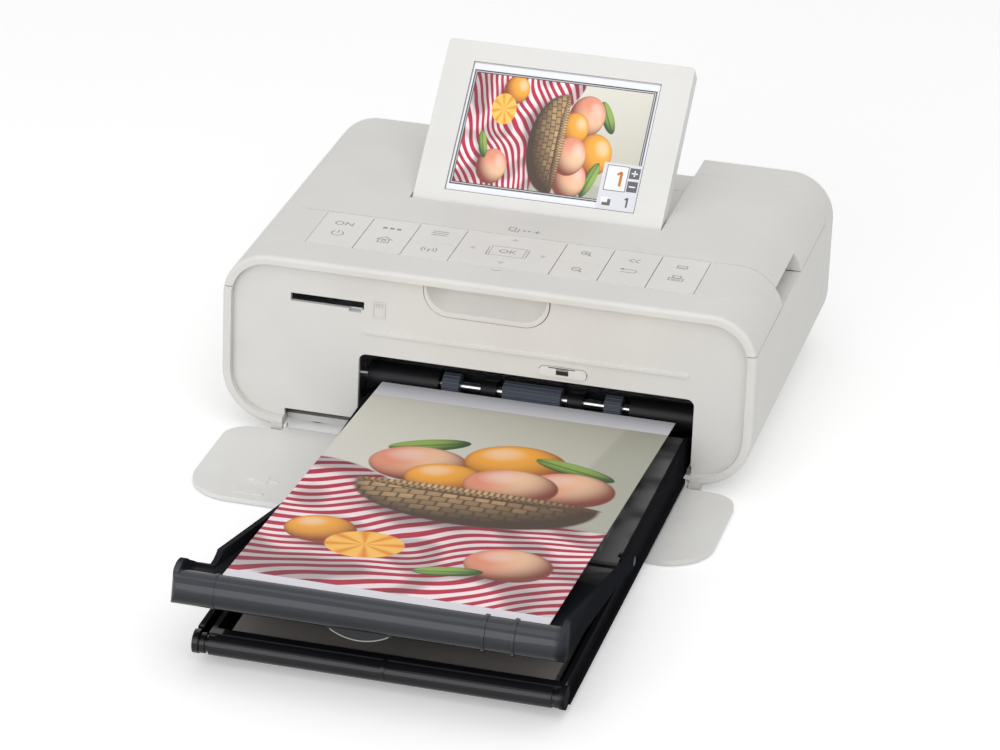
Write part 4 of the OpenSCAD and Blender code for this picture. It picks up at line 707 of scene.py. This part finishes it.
class PRINTER_OT_shells(bpy.types.Operator):
    """Builds the case, the covers and the cassette with soft moulded edges"""
    bl_idname = "printer.shells"
    bl_label = "Moulded shells"

    def execute(self, context):
        edge = context.scene.printer_sizes.edge
        for node in ("lower_case", "top_shell", "rear_panel", "front_panel", "finger_scoop",
                     "control_band", "side_cover"):
            soft_copy(node, edge, MATERIALS["case"], "case_white")
        for node in ("lcd_bezel", "lcd_back", "front_cover"):
            soft_copy(node, edge, MATERIALS["bezel"], "case_white")
        soft_copy("cover_catch", 0.00008, MATERIALS["bezel"], "case_white")
        soft_copy("cassette_tray", edge, MATERIALS["tray"], "tray_black")
        for node in ("output_lid", "cassette_cover"):
            soft_copy(node, edge, MATERIALS["lid"], "smoke")
        return {"FINISHED"}


class PRINTER_OT_keys(bpy.types.Operator):
    """Builds the keys with soft edges and prints their signs"""
    bl_idname = "printer.keys"
    bl_label = "Keys and their signs"

    def execute(self, context):
        s = context.scene.printer_sizes
        for node in sorted(n for n in NODES if n.startswith("key_") and n != "key_board"):
            soft_copy(node, s.key_edge, MATERIALS["keys"], "key_white")
        h, w = s.ink, s.line / MM
        signs = {
            "key_power": lambda: [arc(0, -3.0, 2.0, w, h, 125, 415), bar(0, -1.6, w, 2.6, h),
                                  word("ON", 0, 5.4, 4.3, h)],
            "key_home": lambda: [bar(-1.35, -2.1, 3.9, w, h, 40), bar(1.35, -2.1, 3.9, w, h, -40)]
            + outline(0, -4.6, 4.0, 3.2, w, h) + [arc(0, -4.3, 0.7, w, h, 0, 360)]
            + [bar(dx, 6.6, 1.5, 1.5, h) for dx in (-2.4, 0, 2.4)],
            "key_menu": lambda: [bar(0, dy, 5.6, w * 1.2, h) for dy in (-0.4, 1.1, 2.6)],
            "key_wireless": lambda: [disc(0, 0.4, 0.45, h), bar(0, -0.9, w, 1.9, h)]
            + [arc(0, 0.4, r, w, h, a - 42, a + 42, 8) for r in (1.5, 2.6) for a in (0, 180)],
            # The thin outline round the OK key's top is painted shade of the gap round the key.
            "key_ok": lambda: [word("OK", 0, 0, 4.2, h)] + outline(0, 0, 11.8, 7.7, 0.22, h),
            "key_zoom_in": lambda: [arc(-0.4, 0.8, 1.45, w, h, 0, 360), bar(1.1, -0.7, 1.7, w * 1.5, h, -45),
                                    bar(-0.4, 0.8, 1.5, w, h), bar(-0.4, 0.8, w, 1.5, h)],
            "key_zoom_out": lambda: [arc(-0.4, 0.4, 1.45, w, h, 0, 360), bar(1.1, -1.1, 1.7, w * 1.5, h, -45),
                                     bar(-0.4, 0.4, 1.5, w, h)],
            "key_back": lambda: [bar(-0.3, -1.2, 3.8, w, h), bar(-0.5, -3.6, 4.0, w, h),
                                 arc(1.5, -2.4, 1.2, w, h, -90, 90, 10), disc(-2.3, -1.2, 0.95, h, 3, 90)]
            + [bar(dx, 6.6 + s * 0.75, 2.2, w, h, s * 42) for dx in (-0.9, 1.1) for s in (-1, 1)],
            "key_print": lambda: outline(0, -4.1, 5.2, 2.4, w, h) + outline(0, -1.9, 3.0, 2.2, w, h)
            + [bar(0, -4.3, 3.2, w, h)] + outline(0, 6.6, 3.6, 2.6, w, h) + [bar(0, 6.1, 2.2, w, h)],
        }
        for node, draw in signs.items():
            laid(node.replace("key_", "sign_"), draw(), on_top(node), MATERIALS["marks"], node, "key_white")
        arrows = [disc(dx, dy, 1.5, h, 3, turn, 0.8) for dx, dy, turn in
                  ((-12.0, 0, 90), (12.0, 0, -90), (0, 10.6, 0), (0, -9.4, 180))]
        laid("sign_arrows", arrows, on_top("key_pad"), MATERIALS["faint"], "key_pad", "key_white")
        copies = [bar(5.2, 0, 2.6, w, h), bar(5.2, 0, w, 2.6, h)] + outline(-3.4, 0.5, 2.6, 3.0, w, h) \
            + [bar(-2.3, -1.7, 2.8, w, h), bar(-1.1, -0.4, w, 2.8, h)] + [bar(dx, 0, 0.9, 0.9, h) for dx in (0.8, 2.4)]
        laid("sign_copies", copies, on_top("key_pad", 0, 19.6), MATERIALS["marks"], "housing", "key_white")
        tick = [arc(0, 1.2, 2.2, w * 0.8, h, 228, 312, 8)]
        laid("sign_tick", tick, on_top("key_pad", 0.2, -15.6), MATERIALS["marks"], "housing", "key_white")
        return {"FINISHED"}


class PRINTER_OT_screen(bpy.types.Operator):
    """Builds the lit face of the screen and the figures on it"""
    bl_idname = "printer.screen"
    bl_label = "Screen page"

    def execute(self, context):
        h = context.scene.printer_sizes.ink
        top = SCREEN_TOP - 1.05
        y_mid = VIEW_LOW + VIEW_H / 2
        deselect()
        bpy.ops.mesh.primitive_plane_add(size=1)
        face = bpy.context.active_object
        face.scale = ((VIEW_W - 0.2) * MM, (VIEW_H - 0.2) * MM, 1)
        face.location = (VIEW_X * MM, y_mid * MM, (top + 0.1) * MM)
        settle(face)
        in_edit(lift(0.3 * MM), FACE_OUT)
        active("display_face").data.transform(on_screen())
        finish_piece(face, picture_material("lit page", 0.25, screen_look), "screen", "display")

        def spot(u, v):
            return VIEW_X + (u - 0.5) * VIEW_W, y_mid + (v - 0.5) * VIEW_H

        def place(name, parts, mat, level):
            laid(name, parts, on_screen(top + 0.4 + level * h / MM), mat, "screen", "display")

        flat = {k: material(k, c, 0.4, bump=0.0, vary=0.02) for k, c in {
            "page grey": (0.78, 0.79, 0.84), "page white": (0.93, 0.93, 0.95), "page slate": (0.12, 0.12, 0.13),
            "page amber": (0.62, 0.21, 0.02)}.items()}
        edge = outline(VIEW_X, y_mid, VIEW_W + 0.3, VIEW_H + 0.3, 0.16, h)
        laid("display_edge", edge, on_screen(SCREEN_TOP), MATERIALS["umber"], "screen", "case_white")
        place("page_block", [bar(*spot(0.897, 0.185), 0.204 * VIEW_W, 0.36 * VIEW_H, h)], flat["page grey"], 0)
        box_x, box_y = spot(0.872, 0.250)
        place("page_box_edge", [bar(box_x, box_y, 7.6, 9.6, h)], flat["page slate"], 1)
        place("page_box", [bar(box_x, box_y, 7.1, 9.1, h)], flat["page white"], 2)
        count = [bar(box_x + 1.5, box_y - 0.2, 0.95, 5.4, h), bar(box_x + 0.8, box_y + 1.9, 1.7, 0.85, h, 38)]
        place("page_count", count, flat["page amber"], 3)
        for name, dy in (("plus", 2.5), ("minus", -2.5)):
            x, y = spot(0.962, 0.250)
            place("page_%s_key" % name, [bar(x, y + dy, 3.6, 4.0, h)], flat["page slate"], 1)
            lines = [bar(x, y + dy, 2.2, 0.5, h)] + ([bar(x, y + dy, 0.5, 2.2, h)] if dy > 0 else [])
            place("page_%s_sign" % name, lines, flat["page white"], 2)
        x, y = spot(0.836, 0.075)
        place("page_sheets", [bar(x + 0.6, y - 0.6, 2.8, 2.4, h)], flat["page slate"], 1)
        place("page_sheet_front", [bar(x - 0.3, y + 0.3, 2.4, 2.0, h)], flat["page white"], 2)
        x, y = spot(0.952, 0.075)
        total = [bar(x, y, 0.65, 3.6, h), bar(x - 0.45, y + 1.35, 1.1, 0.6, h, 38)]
        place("page_total", total, flat["page slate"], 2)
        return {"FINISHED"}


class PRINTER_OT_prints(bpy.types.Operator):
    """Builds the photo print that lies on the output lid"""
    bl_idname = "printer.prints"
    bl_label = "Photo print"

    def execute(self, context):
        deselect()
        bpy.ops.mesh.primitive_plane_add(size=1)
        o = bpy.context.active_object
        o.scale = (SHEET_W * MM, SHEET_L * MM, 1)
        o.location = (0, SHEET_L / 2 * MM, 0)
        settle(o)
        in_edit(("subdivide", {"number_cuts": 24}), lift(SHEET_T * MM), FACE_OUT)
        active("print_sheet")
        x, y, z = SHEET_FRONT
        o.data.transform(Matrix.Translation((x * MM, y * MM, z * MM))
                         @ Matrix.Rotation(math.radians(SHEET_SLOPE), 4, "X"))
        finish_piece(o, picture_material("glossy photo paper", 0.32, print_look), None, "print_gloss", "photo_print")
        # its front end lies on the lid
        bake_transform(o)
        return {"FINISHED"}


class PRINTER_OT_marks(bpy.types.Operator):
    """Adds the small signs of the front panel and the side cover, painted shade in the catch and painted highlight
    lines on the edges of the lid's tab
    """
    bl_idname = "printer.marks"
    bl_label = "Raised signs"

    def execute(self, context):
        h, w = SIGN_HEIGHT * MM, SIGN_LINE
        stand = Matrix.Rotation(math.radians(90), 4, "X")
        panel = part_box("front_panel")[0].y / MM + 0.4
        card = outline(0, 0, 4.4, 5.6, w, h) + [bar(x, 1.6, 0.4, 1.4, h) for x in (-1.0, 0.0, 1.0)]
        laid("sign_card", card, Matrix.Translation((-37.2 * MM, panel * MM, 48.2 * MM)) @ stand,
             MATERIALS["case"], "housing", "case_white")
        # Painted highlight: pale grey lines along the curved edge and the straight edge of the lid's tab stand for
        # light on those edges.
        tab = Matrix.Translation((8.0 * MM, (FRONT_Y - 171.38) * MM, 39.99 * MM)) \
            @ Matrix.Rotation(math.radians(LID_ANGLE), 4, "X") @ stand
        laid("sign_tab", [arc(0, 0, 18.55, 0.3, h / 4, -119, -61, 16), bar(0, -15.5, 18.8, 0.3, h / 4)], tab,
             MATERIALS["marks"], BODY_OF["output_lid"], "smoke")
        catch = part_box("cover_catch")[0].y
        # Painted shade: the dark brown plate stands for the latch in the shade of the catch's window, and the dark
        # line for the shade in the slot above it.
        for name, mat, dx, z, w2, h2, deep in (("catch_latch_in_painted_shade", "umber", -0.1, 34.95, 4.2, 1.7, 0.5),
                                               ("catch_lip", "marks", -0.1, 36.1, 4.2, 0.7, -0.02),
                                               ("catch_slot_painted_shade", "umber", -0.25, 36.62, 9.0, 0.28, -0.03)):
            laid(name, [bar(0, 0, w2, h2, h / 4)], Matrix.Translation(((25.8 + dx) * MM, catch + deep * MM, z * MM))
                 @ stand, MATERIALS[mat], "housing", "case_white")
        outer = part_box("side_cover")[1].x - h + 0.01 * MM
        side = Matrix.Translation((outer, 0, 0)) @ Matrix(((0, 0, 1, 0), (1, 0, 0, 0), (0, 1, 0, 0), (0, 0, 0, 1)))
        pull = [bar(FRONT_Y + 64.5, 43.2, 10.0, w, h), bar(FRONT_Y + 57.2, 41.9, w, 3.0, h),
                bar(FRONT_Y + 61.5, 41.9, 3.4, w, h, 38)]
        laid("sign_pull", pull, side, MATERIALS["case"], "side_cover", "case_white")
        return {"FINISHED"}


class PRINTER_OT_stage(bpy.types.Operator):
    """Builds the floor, the soft studio light and the camera"""
    bl_idname = "printer.stage"
    bl_label = "Stage"

    def execute(self, context):
        deselect()
        bpy.ops.mesh.primitive_plane_add(size=12, location=(0, 2, -0.0002))
        floor = settle(active("floor"))
        m = bpy.data.materials.new("pale floor")
        m.use_nodes = True
        t = m.node_tree
        shader = t.nodes["Principled BSDF"]
        shader.inputs["Roughness"].default_value = 0.9
        shader.inputs["Emission Color"].default_value = (1, 1, 1, 1)
        shader.inputs["Base Color"].default_value = (FLOOR_TONE, FLOOR_TONE, FLOOR_TONE, 1)
        t.links.new(sums(t, "MULTIPLY", seen_rays(t), FLOOR_GLOW), shader.inputs["Emission Strength"])
        floor.data.materials.append(m)

        world = bpy.data.worlds.new("studio")
        context.scene.world = world
        world.use_nodes = True
        t = world.node_tree
        sky = t.nodes["Background"].inputs
        t.links.new(spread(t, seen_rays(t), 0.0, 1.0, SKY_LIGHT, SKY_SEEN, soft=False), sky["Strength"])
        sky["Color"].default_value = (1, 1, 1, 1)

        for name, power, size, at, aim in LAMPS:
            light = bpy.data.lights.new(name, "AREA")
            light.energy, light.size = power, size
            o = bpy.data.objects.new(name, light)
            context.scene.collection.objects.link(o)
            o.location = at
            o.rotation_euler = (Vector(at) - Vector(aim)).to_track_quat("Z", "Y").to_euler()

        cam = bpy.data.cameras.new("camera")
        cam.sensor_width, cam.lens = CAMERA_SENSOR, CAMERA_LENS
        cam.clip_end = 20
        o = bpy.data.objects.new("camera", cam)
        context.scene.collection.objects.link(o)
        yaw, pitch, roll = (math.radians(a) for a in CAMERA_TURN)
        ahead = Vector((-math.sin(yaw) * math.cos(pitch), math.cos(yaw) * math.cos(pitch), -math.sin(pitch)))
        right = ahead.cross(Vector((0, 0, 1))).normalized()
        up = right.cross(ahead)
        r = math.cos(roll) * right + math.sin(roll) * up
        u = math.cos(roll) * up - math.sin(roll) * right
        o.matrix_world = Matrix.Translation(CAMERA_AT) @ Matrix((r, u, -ahead)).transposed().to_4x4()
        context.scene.camera = o
        context.scene.view_settings.view_transform = "Standard"
        return {"FINISHED"}


STEPS = ("materials", "shells", "keys", "screen", "prints", "marks", "stage")


class PRINTER_PT_panel(bpy.types.Panel):
    """Lists the steps in the order in which they run"""
    bl_idname = "PRINTER_PT_panel"
    bl_label = "Compact photo printer"
    bl_space_type = "VIEW_3D"
    bl_region_type = "UI"
    bl_category = "Printer"

    def draw(self, context):
        for group in (context.scene.printer_sizes, context.scene.printer_colours):
            for name in group.bl_rna.properties.keys():
                if name not in ("rna_type", "name"):
                    self.layout.prop(group, name)
        for step in STEPS:
            self.layout.operator("printer." + step)


CLASSES = (PrinterSizes, PrinterColours, PRINTER_OT_materials, PRINTER_OT_shells, PRINTER_OT_keys,
           PRINTER_OT_screen, PRINTER_OT_prints, PRINTER_OT_marks, PRINTER_OT_stage, PRINTER_PT_panel)


def register():
    for c in CLASSES:
        bpy.utils.register_class(c)
    bpy.types.Scene.printer_sizes = bpy.props.PointerProperty(type=PrinterSizes)
    bpy.types.Scene.printer_colours = bpy.props.PointerProperty(type=PrinterColours)


def unregister():
    del bpy.types.Scene.printer_sizes, bpy.types.Scene.printer_colours
    for c in reversed(CLASSES):
        bpy.utils.unregister_class(c)


def main():
    """Runs every step, as the sidebar's buttons do."""
    register()
    for step in STEPS:
        getattr(bpy.ops.printer, step)()


if __name__ == "__main__":
    main()
